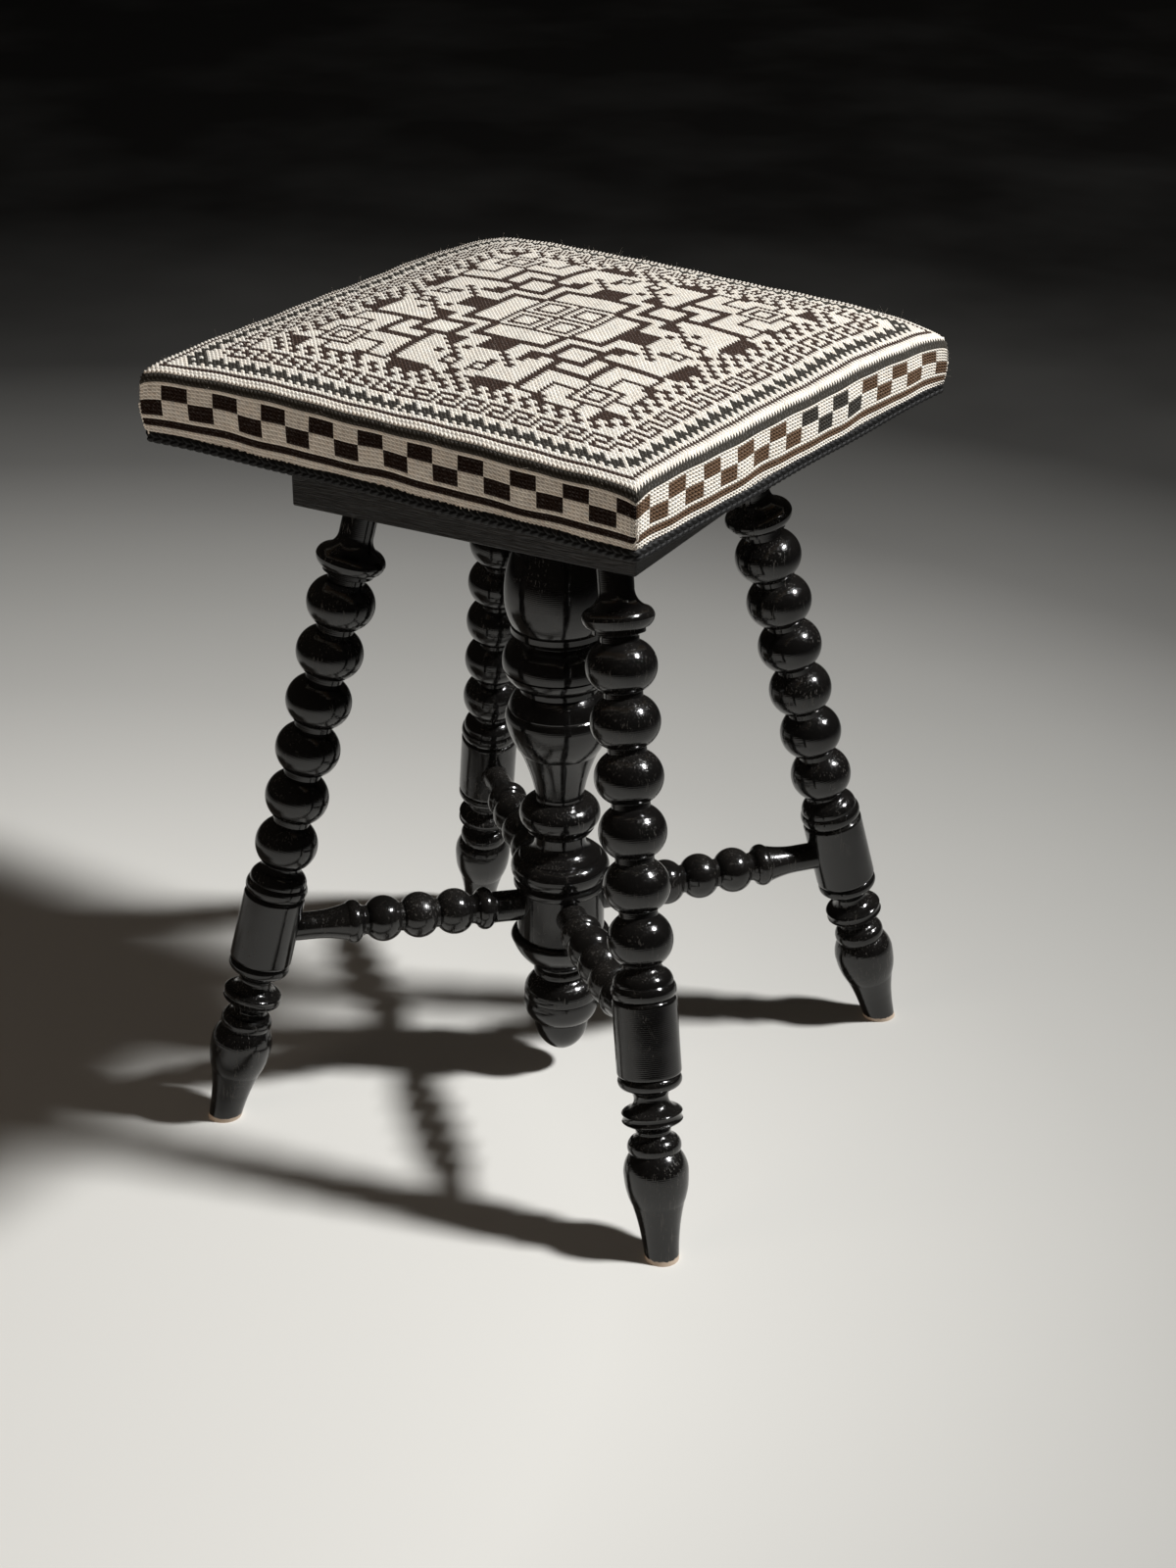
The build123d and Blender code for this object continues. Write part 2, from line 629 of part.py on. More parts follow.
with BuildPart() as end_screw:
    with BuildSketch(Plane.XY.offset(WASHER_LOW - LOOSE_GAP)):
        Circle(END_SCREW_HEAD_RADIUS)
    extrude(amount=-END_SCREW_HEAD)
    with BuildSketch(Plane.XY.offset(WASHER_LOW - LOOSE_GAP)):
        Circle(END_SCREW_RADIUS)
    extrude(amount=END_SCREW_DEPTH)
    with BuildSketch(Plane.XY.offset(WASHER_LOW - LOOSE_GAP - END_SCREW_HEAD)):
        Rectangle(2 * END_SCREW_HEAD_RADIUS, 2 * SLOT_WIDTH)
    extrude(amount=2 * SLOT_DEPTH, mode=Mode.SUBTRACT)
end_screw.part.label = "end_screw"
export_step(end_screw.part, "parts/end_screw.step")

# Iron flange under the seat board: a hub and four arms, screwed on from below
FLANGE_LOW = SEAT_BOARD_LOW - FLANGE_THICK
FLANGE_FACE = Plane(origin=(0, 0, FLANGE_LOW), x_dir=SEAT_PLANE.x_dir, z_dir=(0, 0, -1))
with BuildPart() as seat_flange:
    with BuildSketch(SEAT_PLANE.offset(FLANGE_LOW)):
        Circle(PLATE_RADIUS)
        SlotOverall(2 * ARM_LENGTH, ARM_WIDTH)
        SlotOverall(2 * ARM_LENGTH, ARM_WIDTH, rotation=90)
    extrude(amount=FLANGE_THICK)
    with BuildSketch(SEAT_PLANE.offset(HUB_LOW)):
        Circle(HUB_RADIUS)
    extrude(amount=FLANGE_LOW - HUB_LOW)
    with BuildSketch(SEAT_PLANE.offset(HUB_LOW)):
        Circle(SPINDLE_CORE_RADIUS + METAL_GAP)
    extrude(amount=SEAT_BOARD_LOW - HUB_LOW, mode=Mode.SUBTRACT)
    with Locations(FLANGE_FACE):
        with PolarLocations(ARM_SCREW_CIRCLE_RADIUS, len(QUARTER_TURNS)):
            add(pilot, mode=Mode.SUBTRACT)
seat_flange.part.label = "seat_flange"
export_step(seat_flange.part, "parts/seat_flange.step")

with BuildPart() as flange_screws:
    with Locations(FLANGE_FACE):
        with PolarLocations(ARM_SCREW_CIRCLE_RADIUS, len(QUARTER_TURNS)):
            add(one_screw)
flange_screws.part.label = "flange_screws"
export_step(flange_screws.part, "parts/flange_screws.step")

# Tacks along the hem of the cover, under the seat board
tack_line = SEAT_SIDE / 2 - SEAT_DRAW_IN - HEM_WIDTH / 2
tack_count = max(2, 1 + round(2 * (tack_line - SEAT_CORNER) / TACK_SPACING))
tack_step = 2 * (tack_line - SEAT_CORNER) / (tack_count - 1)
TACK_FACE = Plane(origin=(0, 0, SEAT_UNDERSIDE), x_dir=SEAT_PLANE.x_dir, z_dir=(0, 0, -1))
tack_places = [
    Vector(SEAT_CORNER - tack_line + number * tack_step, tack_line).rotate(Axis.Z, turn)
    for turn in QUARTER_TURNS
    for number in range(tack_count)
]
with BuildPart() as cover_tacks:
    with BuildSketch(TACK_FACE):
        with Locations(*tack_places):
            Circle(TACK_HEAD_RADIUS)
    extrude(amount=TACK_HEAD)
    with BuildSketch(TACK_FACE):
        with Locations(*tack_places):
            Circle(TACK_RADIUS)
    extrude(amount=-TACK_LENGTH)
cover_tacks.part.label = "cover_tacks"
export_step(cover_tacks.part, "parts/cover_tacks.step")

# Seat board inside the cover
core_side = SEAT_SIDE - 2 * (SEAT_DRAW_IN + COVER_THICK + LOOSE_GAP)
with BuildPart() as seat_board:
    with BuildSketch(SEAT_PLANE.offset(SEAT_BOARD_LOW)):
        RectangleRounded(core_side, core_side, SEAT_CORNER)
    extrude(amount=SEAT_BOARD_THICK)
    with Locations(FLANGE_FACE):
        with PolarLocations(ARM_SCREW_CIRCLE_RADIUS, len(QUARTER_TURNS)):
            add(pilot, mode=Mode.SUBTRACT)
    with BuildSketch(TACK_FACE):
        with Locations(*tack_places):
            Circle(TACK_RADIUS + METAL_GAP)
    extrude(amount=-TACK_LENGTH - END_GAP, mode=Mode.SUBTRACT)
seat_board.part.label = "seat_board"
export_step(seat_board.part, "parts/seat_board.step")

# Stuffing on the seat board, and the cover drawn over it and turned under the board
whole_form = cushion_form(0.0, 0.0)
cover_hollow = cushion_form(-COVER_THICK, COVER_THICK)
stuffing_form = cushion_form(-COVER_THICK - LOOSE_GAP, COVER_THICK)
with BuildPart() as seat_stuffing:
    add(stuffing_form)
    split(bisect_by=Plane.XY.offset(STUFFING_LOW), keep=Keep.TOP)
seat_stuffing.part.label = "seat_stuffing"
export_step(seat_stuffing.part, "parts/seat_stuffing.step")

hem_opening = SEAT_SIDE - 2 * (SEAT_DRAW_IN + HEM_WIDTH)
with BuildPart() as seat_cover:
    add(whole_form)
    add(cover_hollow, mode=Mode.SUBTRACT)
    with BuildSketch(SEAT_PLANE.offset(SEAT_UNDERSIDE)):
        Rectangle(hem_opening, hem_opening)
    extrude(amount=COVER_THICK, mode=Mode.SUBTRACT)
    with BuildSketch(TACK_FACE):
        with Locations(*tack_places):
            Circle(TACK_RADIUS + METAL_GAP)
    extrude(amount=-COVER_THICK, mode=Mode.SUBTRACT)
seat_cover.part.label = "seat_cover"
export_step(seat_cover.part, "parts/seat_cover.step")

# Braid glued round the foot of the cover
gimp_inside = cushion_form(METAL_GAP, 0.0)
gimp_outside = cushion_form(METAL_GAP + GIMP_THICK, 0.0)
with BuildPart() as gimp_braid:
    add(gimp_outside)
    add(gimp_inside, mode=Mode.SUBTRACT)
    split(bisect_by=Plane.XY.offset(SEAT_UNDERSIDE + GIMP_HEIGHT), keep=Keep.BOTTOM)
gimp_braid.part.label = "gimp_braid"
export_step(gimp_braid.part, "parts/gimp_braid.step")
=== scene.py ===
"""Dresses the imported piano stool: needlepoint seat, black braid, ebonised turnings, ironwork and stage."""
import math

import bpy
import numpy as np
from mathutils import Matrix, Vector


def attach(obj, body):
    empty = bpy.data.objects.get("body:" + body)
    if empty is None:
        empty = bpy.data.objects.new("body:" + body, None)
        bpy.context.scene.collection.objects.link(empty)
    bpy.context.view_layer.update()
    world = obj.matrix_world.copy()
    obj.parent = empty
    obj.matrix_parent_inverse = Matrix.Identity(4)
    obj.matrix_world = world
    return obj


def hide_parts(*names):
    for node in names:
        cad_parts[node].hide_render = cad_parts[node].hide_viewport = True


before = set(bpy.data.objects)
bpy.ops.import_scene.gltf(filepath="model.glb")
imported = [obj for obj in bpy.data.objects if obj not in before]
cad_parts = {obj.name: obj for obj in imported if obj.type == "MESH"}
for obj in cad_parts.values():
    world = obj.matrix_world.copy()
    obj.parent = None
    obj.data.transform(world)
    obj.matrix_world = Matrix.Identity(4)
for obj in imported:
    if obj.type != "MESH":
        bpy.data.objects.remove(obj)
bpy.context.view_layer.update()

bl_info = {
    "name": "Piano stool",
    "version": (1, 0, 0),
    "blender": (4, 5, 0),
    "location": "View3D > Sidebar > Stool",
    "description": "Dresses a packed piano stool with its needlepoint seat, braid, lacquer and stage",
    "category": "Object",
}

TURN, QUARTER = 2.0 * math.pi, math.pi / 2.0
MILLIMETRES = 1000.0  # to the metre
LEG_AZIMUTHS = {"front_right": -45.0, "back_right": 45.0, "back_left": 135.0, "front_left": 225.0}
LEG_SPLAY = math.radians(14.54)
COVER_SEED, SEAM_SEED, FUZZ_SEED = 1885, 12, 64

# Stitches of the needlepoint
STITCHES = 121  # along a side of the seat's top
MIDDLE = STITCHES // 2
NODES = 2 * STITCHES  # half stitches along a side
TOP_NODES = (NODES + 1) ** 2
EVEN_STITCHES = 58.5  # from the middle to where the rounded edge begins
CREAM, BROWN, CHARCOAL, CHECK_BROWN_LIT, CHECK_BROWN_PAINTED_SHADE = range(5)
RIGHT, BACK = 1, 2  # sides of the wall, counted round from the front
CORNERS = ((-1.0, -1.0), (1.0, -1.0), (1.0, 1.0), (-1.0, 1.0))  # round from the front left

# Heights on the stitches, in stitch reliefs
FULL, BESIDE = 1.0, -0.6  # a stitch's middle, and the gap to the next in its row
ROW_GAP, ROW_JOIN = -1.0, -0.3  # between two rows of the top, across a stitch and beside it
WALL_GAP = -0.8  # between two rows of the wall

# Hidden inside of the cover
HEM_THICK = 0.0016
WALL_THICK = 0.0017
CEILING = 0.0202  # over the seat's underside

# Painted pool of light on the floor: pale near its middle, painted dark with distance
PAINTED_LIGHT_POOL_MIDDLE = (-0.30, -0.45, 0.0)
PAINTED_LIGHT_POOL_REACH = 4.2  # distance that the ramp below takes as one
PAINTED_LIGHT_POOL_RAMP = ((0.12, 0.0), (0.17, 0.22), (0.205, 0.38), (0.283, 0.62), (0.338, 0.82), (0.417, 0.95),
             (0.512, 0.98), (0.575, 0.996), (0.96, 1.0))  # shares of that distance and of the far floor

# Sockets of a Mix node for colours
MIX_SHARE, MIX_FIRST, MIX_SECOND, MIX_RESULT = 0, 6, 7, 2


# Settings

def length(name, description, default):
    """A size in metres."""
    return bpy.props.FloatProperty(name=name, description=description, default=default, unit="LENGTH",
                                   precision=4)


def angle(name, description, degrees):
    """An angle, given in degrees."""
    return bpy.props.FloatProperty(name=name, description=description, default=math.radians(degrees),
                                   unit="ROTATION")


def number(name, description, default):
    """A plain number."""
    return bpy.props.FloatProperty(name=name, description=description, default=default)


def colour(name, description, default):
    """A linear colour."""
    return bpy.props.FloatVectorProperty(name=name, description=description, default=default,
                                         subtype="COLOR", size=3, min=0.0, max=1.0)


def point(name, description, default):
    """A place in metres."""
    return bpy.props.FloatVectorProperty(name=name, description=description, default=default,
                                         subtype="XYZ", unit="LENGTH")


class StoolSeatSettings(bpy.types.PropertyGroup):
    """Sizes of the needlepoint seat, in the seat's own square frame."""

    turn: angle("Turn", "How far the seat is turned on its spindle at rest", -5.4)
    half_side: length("Half side", "Middle of the seat to its side, at the top edge", 0.17175)
    edge_round: length("Edge round", "Width and drop of the rounded top edge", 0.006)
    corner: length("Corner", "Radius of the seat's upright corners", 0.005)
    pitch: length("Stitch pitch", "Distance between stitches on the top", 0.002907)
    brow: length("Brow", "Height of the top edge's brow over the floor", 0.507)
    crown: length("Crown", "Rise of the stuffed top over its brow", 0.014)
    fullness: number("Fullness", "Power of the stuffed top's hump: more is flatter in the middle", 4.0)
    lean_right: length("Lean right", "How far the worn top drops at the right side", 0.0028)
    drops: bpy.props.FloatVectorProperty(
        name="Corner drops",
        description="How far the front left, front right, back right and back left corners drop",
        default=(0.0025, -0.0015, 0.007, 0.006), size=4, unit="LENGTH", precision=4)
    pinch: length("Corner pinch", "How far the very tip of each corner is pulled down", 0.0048)
    ear: length("Ear", "How far the front left corner stands out each way", 0.0055)
    back_ear: length("Back ear", "How far the back right corner stands out each way", 0.002)
    foot: length("Foot", "Height of the seat's underside over the floor", 0.462)
    draw_in: length("Draw in", "How far the sides are pulled in at the foot", 0.0022)
    hem: length("Hem", "Width of the hem turned under the seat board", 0.020)
    relief: length("Stitch relief", "Height of a stitch over the canvas", 0.00055)
    bow: length("Bow", "How far the sides bulge halfway down", 0.0012)
    waver: length("Waver", "How far the hand-sewn edges wander", 0.0004)
    swell: length("Swell", "Most that the simulated stuffing may move the cover", 0.003)
    gimp_height: length("Gimp height", "Height of the black braid round the foot", 0.0076)
    gimp_thick: length("Gimp thickness", "Thickness of the black braid", 0.0022)
    gimp_hang: length("Gimp hang", "How far the braid hangs below the seat's underside", 0.0012)


class StoolFinishSettings(bpy.types.PropertyGroup):
    """Colours of the wools, the lacquer and the metals, and the lacquer's wear."""

    cream: colour("Cream wool", "Ground stitches", (0.90, 0.835, 0.735))
    brown: colour("Brown wool", "Pattern stitches", (0.056, 0.034, 0.025))
    charcoal: colour("Charcoal wool", "Teeth and edge stitches", (0.047, 0.042, 0.034))
    # The two check browns below are one brown wool for the wall's checks and line: the first as it looks lit
    # on the right and back, which face the key lamp, the second that brown darkened with painted shade for
    # the front and left.
    check_brown_lit: colour("Umber wool", "Faded checks and line of the right and back", (0.130, 0.076, 0.043))
    check_brown_painted_shade: colour("Sepia wool", "Checks and line of the front and left", (0.021, 0.011, 0.007))
    hair: colour("Hair", "Loose fibres of the wool", (0.50, 0.44, 0.37))
    braid: colour("Braid", "Black braid", (0.0035, 0.0034, 0.0033))
    worn_braid: colour("Worn braid", "Black braid where it stands proud", (0.0175, 0.0174, 0.0173))
    lacquer: colour("Lacquer", "Ebonised polish", (0.0034, 0.0032, 0.0031))
    dust: colour("Dust", "Dust and dulled polish", (0.075, 0.068, 0.060))
    lathe_rate: number("Lathe rate", "Lathe lines on a turning, in radians to the metre", 5200.0)
    worn_foot: length("Worn foot", "Height over the floor up to which the polish is chipped", 0.0035)
    chipped: colour("Chipped wood", "Bare wood at the worn feet", (0.42, 0.33, 0.25))
    board: colour("Seat board", "Unfinished board under the seat", (0.40, 0.26, 0.15))
    iron: colour("Iron", "Japanned iron", (0.035, 0.034, 0.033))
    steel: colour("Steel", "Oiled steel", (0.42, 0.40, 0.37))
    blued: colour("Blued steel", "Blued tacks", (0.045, 0.052, 0.075))


class StoolStageSettings(bpy.types.PropertyGroup):
    """Camera, lamps and floor."""

    target: point("Target", "Point the camera circles", (0.0, 0.0, 0.23))
    distance: length("Distance", "Camera to target", 1.839853)
    azimuth: angle("Azimuth", "Camera's turn to the right of the front", 29.7463)
    elevation: angle("Elevation", "Camera's height over the horizon", 26.0499)
    pan: angle("Pan", "Camera turned about its own upright", -0.5641)
    tilt: angle("Tilt", "Camera turned about its own cross axis", -0.5269)
    roll: angle("Roll", "Camera turned about its line of sight", 0.3473)
    lens: number("Lens", "Focal length in millimetres", 65.81)
    sensor: number("Sensor", "Width of the camera's sensor in millimetres", 36.0)
    near: length("Near", "Nearest that the camera sees", 0.05)
    # The floor's colour is the first below near the stool and goes to the second far off: a painted pool of
    # light, with painted darkness where the light falls off.
    floor: colour("Floor", "Pale floor near the stool", (0.675, 0.665, 0.63))
    floor_painted_dark: colour("Far floor", "Floor far from the stool", (0.0015, 0.0012, 0.0009))
    world: colour("World", "Light from all round", (0.0155, 0.0135, 0.0110))
    key_place: point("Key place", "Middle of the key lamp", (2.76, 1.00, 3.50))
    key_aim: point("Key aim", "Point that the key lamp faces", (0.0, 0.0, 0.35))
    key_side: length("Key side", "Side of the square key lamp", 0.5)
    key_power: number("Key power", "Watts of the key lamp", 304.0)
    fill_place: point("Fill place", "Middle of the fill lamp", (-1.2, -2.3, 0.40))
    fill_aim: point("Fill aim", "Point that the fill lamp faces", (0.0, 0.0, 0.45))
    fill_width: length("Fill width", "Width of the fill lamp", 1.6)
    fill_height: length("Fill height", "Height of the fill lamp", 0.6)
    fill_power: number("Fill power", "Watts of the fill lamp", 15.0)
    fill_tint: colour("Fill tint", "Colour of the fill lamp", (1.0, 0.84, 0.72))


SETTINGS = {"stool_seat": StoolSeatSettings, "stool_finish": StoolFinishSettings,
            "stool_stage": StoolStageSettings}


# Shader maths

class Wire:
    """One socket of a material's node tree. Arithmetic on it adds Math nodes."""

    def __init__(self, tree, socket=None):
        self.tree, self.socket = tree, socket

    def node(self, kind, settings=None, links=None, out=0):
        """Adds a node: first its settings, of which stops fills a ramp, then its sockets' values or wires."""
        made = self.tree.nodes.new(kind)
        for key, value in (settings or {}).items():
            if key == "stops":
                ramp = made.color_ramp
                while len(ramp.elements) < len(value):
                    ramp.elements.new(1.0)
                for element, (position, grey) in zip(ramp.elements, value):
                    element.position = position
                    element.color = (grey, grey, grey, 1.0)
            else:
                setattr(made, key, value)
        for key, value in (links or {}).items():
            if isinstance(value, Wire):
                self.tree.links.new(value.socket, made.inputs[key])
            else:
                made.inputs[key].default_value = value
        return Wire(self.tree, made.outputs[out])

    def maths(self, operation, *values, clamp=False):
        """A Math node on wires and numbers."""
        settings = {"operation": operation, "use_clamp": clamp}
        return self.node("ShaderNodeMath", settings, dict(enumerate(values)))

    def __add__(self, other):
        return self.maths("ADD", self, other)

    def __radd__(self, other):
        return self.maths("ADD", other, self)

    def __sub__(self, other):
        return self.maths("SUBTRACT", self, other)

    def __rsub__(self, other):
        return self.maths("SUBTRACT", other, self)

    def __mul__(self, other):
        return self.maths("MULTIPLY", self, other)

    def __rmul__(self, other):
        return self.maths("MULTIPLY", other, self)

    def __truediv__(self, other):
        return self.maths("DIVIDE", self, other)

    def __pow__(self, other):
        return self.maths("POWER", self, other)

    def clamped(self):
        """The value held between nought and one."""
        return self.maths("ADD", self, 0.0, clamp=True)

    def sine(self):
        """The value's sine, from minus one to one."""
        return self.maths("SINE", self)

    def wave(self):
        """The value's sine, moved to lie between nought and one."""
        return self.sine() * 0.5 + 0.5

    def dot(self, axis):
        """The vector's length along an axis."""
        return self.node("ShaderNodeVectorMath", {"operation": "DOT_PRODUCT"}, {0: self, 1: axis}, "Value")

    def distance(self, place):
        """How far the vector's point lies from a place."""
        return self.node("ShaderNodeVectorMath", {"operation": "DISTANCE"}, {0: self, 1: place}, "Value")

    def part(self, letter):
        """One of a vector's three numbers."""
        return self.node("ShaderNodeSeparateXYZ", {}, {0: self}, letter)

    def stretched(self, scale):
        """The vector scaled, for a pattern that runs one way."""
        return self.node("ShaderNodeMapping", {"vector_type": "POINT"}, {"Vector": self, "Scale": scale})

    def noise(self, scale, detail=2.0, rough=0.5):
        """Soft noise, with so many bumps to the metre."""
        return self.node("ShaderNodeTexNoise", {}, {"Vector": self, "Scale": scale, "Detail": detail,
                                                    "Roughness": rough})

    def ramp(self, *stops):
        """The value carried through a ramp of places and greys."""
        return self.node("ShaderNodeValToRGB", {"stops": stops}, {0: self})

    def rise(self, low, high):
        """Nought below a low value, one above a high one, and a straight rise between them."""
        return self.ramp((low, 0.0), (high, 1.0))

    def mixed(self, kind, share, first, second):
        """A colour mixed from two colours."""
        settings = {"data_type": "RGBA", "blend_type": kind}
        links = {MIX_SHARE: share, MIX_FIRST: first, MIX_SECOND: second}
        return self.node("ShaderNodeMix", settings, links, MIX_RESULT)

    def blended(self, first, second):
        """A colour between two colours, with this value as the share of the second."""
        return self.mixed("MIX", self, rgba(first), rgba(second))

    def tinted(self, shade):
        """This colour multiplied by a grey value."""
        return self.mixed("MULTIPLY", 1.0, self, shade)

    def lifted(self, shade):
        """This colour with a grey value added."""
        return self.mixed("ADD", 1.0, self, shade)

    def bump(self, distance, strength):
        """A normal bent by this height, where one stands for the distance."""
        return self.node("ShaderNodeBump", {}, {"Height": self, "Distance": distance, "Strength": strength})


def rgba(shade):
    """A colour with its fourth number, or a wire as it is."""
    return shade if isinstance(shade, Wire) else (*shade, 1.0)


def darker(shade, share):
    """A colour at a share of its brightness."""
    return tuple(share * part for part in shade)


def new_material(name):
    """An empty material and a wire to start from."""
    material = bpy.data.materials.new(name)
    material.use_nodes = True
    material.node_tree.nodes.clear()
    return material, Wire(material.node_tree)


def surface(material, start, **sockets):
    """Ends a material with the principled shader."""
    names = {"colour": "Base Color", "rough": "Roughness", "metal": "Metallic", "normal": "Normal",
             "specular": "Specular IOR Level", "ior": "IOR"}
    shader = start.node("ShaderNodeBsdfPrincipled", {}, {names[key]: value for key, value in sockets.items()})
    output = start.tree.nodes.new("ShaderNodeOutputMaterial")
    start.tree.links.new(shader.socket, output.inputs["Surface"])
    return material


def object_place(start):
    """Object coordinates, which are the row frame's metres."""
    return start.node("ShaderNodeTexCoord", {}, {}, "Object")


def facing_up(start):
    """One where the surface faces up, nought where it faces sideways or down."""
    return start.node("ShaderNodeTexCoord", {}, {}, "Normal").part("Z").clamped()


# Materials

def ebonised_turning(name, axis, dull=0.0):
    """Black polish on a turning: lathe lines across its axis, slow waves, specks, scuffs and chipped feet.

    Dust lies on what faces up, and a dull turning has some of it all over.
    """
    finish = bpy.context.scene.stool_finish
    material, start = new_material(name)
    place = object_place(start)
    along = place.dot(axis)
    waves = place.noise(48.0, 1.0)
    peel = place.noise(520.0, 2.0)
    lines = (along * finish.lathe_rate + place.noise(90.0, 1.0) * 5.0).sine() * place.noise(35.0, 1.0)
    specks = place.noise(1500.0, 1.0).rise(0.66, 0.74)
    patches = place.noise(28.0, 4.0, 0.6)
    dust = (facing_up(start) ** 2.0 + dull) * patches.ramp((0.35, 0.2), (0.70, 1.0))
    blots = place.noise(300.0, 6.0, 0.75).rise(0.58, 0.64)
    scratches = place.stretched((750.0, 750.0, 60.0)).noise(1.0, 3.0, 0.6).rise(0.60, 0.66)
    scuffs = (blots * 0.7 + scratches).clamped() * patches.rise(0.42, 0.56)
    low = 1.0 - (place.part("Z") / finish.worn_foot).clamped()
    chips = (low * 1.1 + place.noise(420.0, 3.0) - 0.62) * 9.0
    worn = chips.clamped() * low.rise(0.0, 0.25)
    base = (dust * 0.12 + specks * 0.08 + scuffs * 0.40).clamped().blended(finish.lacquer, finish.dust)
    base = worn.blended(base, finish.chipped)
    rough = (0.055 + patches * 0.07 + dust * 0.13 + specks * 0.12 + scuffs * 0.35 + worn * 0.5).clamped()
    height = waves * 0.62 + peel * 0.022 + lines * 0.030 + specks * 0.04
    return surface(material, start, colour=base, rough=rough, normal=height.bump(0.0011, 0.55), ior=1.54)


def ebonised_board(name):
    """Satin black on open-grained wood: long pores along the grain, lighter where the polish is thin."""
    finish = bpy.context.scene.stool_finish
    material, start = new_material(name)
    place = object_place(start)
    streaks = place.stretched((9.0, 260.0, 260.0)).noise(3.0, 4.0, 0.6)
    pores = place.stretched((26.0, 620.0, 620.0)).noise(2.2, 2.0).rise(0.44, 0.60)
    patches = place.noise(22.0, 3.0)
    thin = streaks.rise(0.40, 0.75) * 0.16 + pores * 0.08
    base = thin.blended(finish.lacquer, finish.dust)
    rough = (0.22 + streaks * 0.22 + patches * 0.12).clamped()
    height = streaks * 0.5 - pores * 0.6
    return surface(material, start, colour=base, rough=rough, normal=height.bump(0.0009, 0.8), ior=1.5)


def bare_board(name):
    """Unfinished board: grain rings stretched along its length, with fine pores."""
    finish = bpy.context.scene.stool_finish
    material, start = new_material(name)
    place = object_place(start)
    grain = place.stretched((5.0, 60.0, 60.0)).noise(2.5, 5.0, 0.6)
    pores = place.stretched((30.0, 500.0, 500.0)).noise(2.0, 2.0)
    base = grain.rise(0.30, 0.72).blended(darker(finish.board, 0.45), finish.board)
    height = grain * 0.5 - pores * 0.4
    return surface(material, start, colour=base, rough=0.62 + pores * 0.2, normal=height.bump(0.0006, 0.6))


def metal(name, shade, rough, metallic):
    """Iron or steel: mottled tone, fine pits and rubbed places. Japanned iron is only a little metallic."""
    material, start = new_material(name)
    place = object_place(start)
    mottle = place.noise(120.0, 4.0, 0.6)
    pits = place.noise(1400.0, 2.0)
    base = mottle.rise(0.35, 0.70).blended(darker(shade, 0.45), shade)
    height = pits * 0.6 + mottle * 0.4
    return surface(material, start, colour=base, rough=(rough + mottle * 0.16 + pits * 0.08).clamped(),
                   metal=metallic, normal=height.bump(0.0004, 0.5))


def wool(name):
    """Wool stitches: the stitch's own colour, with twisted strands along its slant, fibres and worn tone.

    A bead is the product of a wave across the slant and one across the row, and the gaps are where it is low.
    The colour has painted shade in the gaps and faintly along the strands, and painted highlights on the
    beads.
    """
    material, start = new_material(name)
    stitch = start.node("ShaderNodeAttribute", {"attribute_name": "stitch_colour"}, {}, "Color")
    chart = start.node("ShaderNodeUVMap", {"uv_map": "stitches"}, {}, "UV")
    place = object_place(start)
    across = chart.part("X") + chart.part("Y")
    along = chart.part("X") - chart.part("Y")
    crest = (across * TURN + QUARTER).wave()
    row = (chart.part("Y") * TURN - QUARTER).wave()
    bead = crest ** 0.5 * row ** 0.6
    strands = (across * TURN * 2.0 + place.noise(500.0, 1.0) * 2.0).wave()
    twist = (along * TURN * 3.0 + across * TURN * 2.0).wave()
    fibres = place.noise(2600.0, 3.0, 0.65)
    soil = place.noise(16.0, 3.0).ramp((0.30, 0.94), (0.65, 1.0))
    on_wall = (chart.part("Y") * -4.0).clamped()
    # Painted shade: the colour is darkened in the gaps between stitches and rows, where the bead is low, and
    # faintly along the strands' grooves.
    painted_gap_shade = (1.0 - bead ** 0.5) ** 2.0 * 0.65
    shade = (1.0 - painted_gap_shade) * (0.90 + strands * 0.05 + twist * 0.03 + fibres * 0.10)
    # Painted highlights: pale specks added on the beads, where light would catch the fibres.
    painted_glints = place.noise(1000.0, 2.0).rise(0.48, 0.66) * bead
    base = stitch.tinted(shade * soil).lifted(painted_glints * 0.075)
    height = bead * (1.0 + on_wall * 0.3) + strands * 0.12 + twist * 0.08 + fibres * 0.22
    return surface(material, start, colour=base, rough=0.93, specular=0.10,
                   normal=height.bump(0.00055, 0.8))


def wool_hair(name):
    """Loose wool fibres, paler and darker by turns."""
    finish = bpy.context.scene.stool_finish
    material, start = new_material(name)
    tone = object_place(start).noise(420.0, 1.0).rise(0.38, 0.62)
    base = tone.blended(darker(finish.hair, 0.3), finish.hair)
    return surface(material, start, colour=base, rough=0.9, specular=0.1)


def braid_fibre(name):
    """Black braid: silky threads along the plait, greyed where they stand proud."""
    finish = bpy.context.scene.stool_finish
    material, start = new_material(name)
    place = object_place(start)
    fibres = place.noise(2400.0, 3.0, 0.6)
    patches = place.noise(90.0, 3.0)
    base = (fibres * 0.5 + patches * 0.35 - 0.25).clamped().blended(finish.braid, finish.worn_braid)
    return surface(material, start, colour=base, rough=0.52, specular=0.25,
                   normal=fibres.bump(0.0003, 0.7))


def seam_thread(name):
    """Pale sewing thread with a fine twist."""
    finish = bpy.context.scene.stool_finish
    material, start = new_material(name)
    fibres = object_place(start).noise(2200.0, 2.0)
    base = fibres.rise(0.3, 0.7).blended(darker(finish.cream, 0.72), finish.cream)
    return surface(material, start, colour=base, rough=0.8, specular=0.2, normal=fibres.bump(0.0003, 0.6))


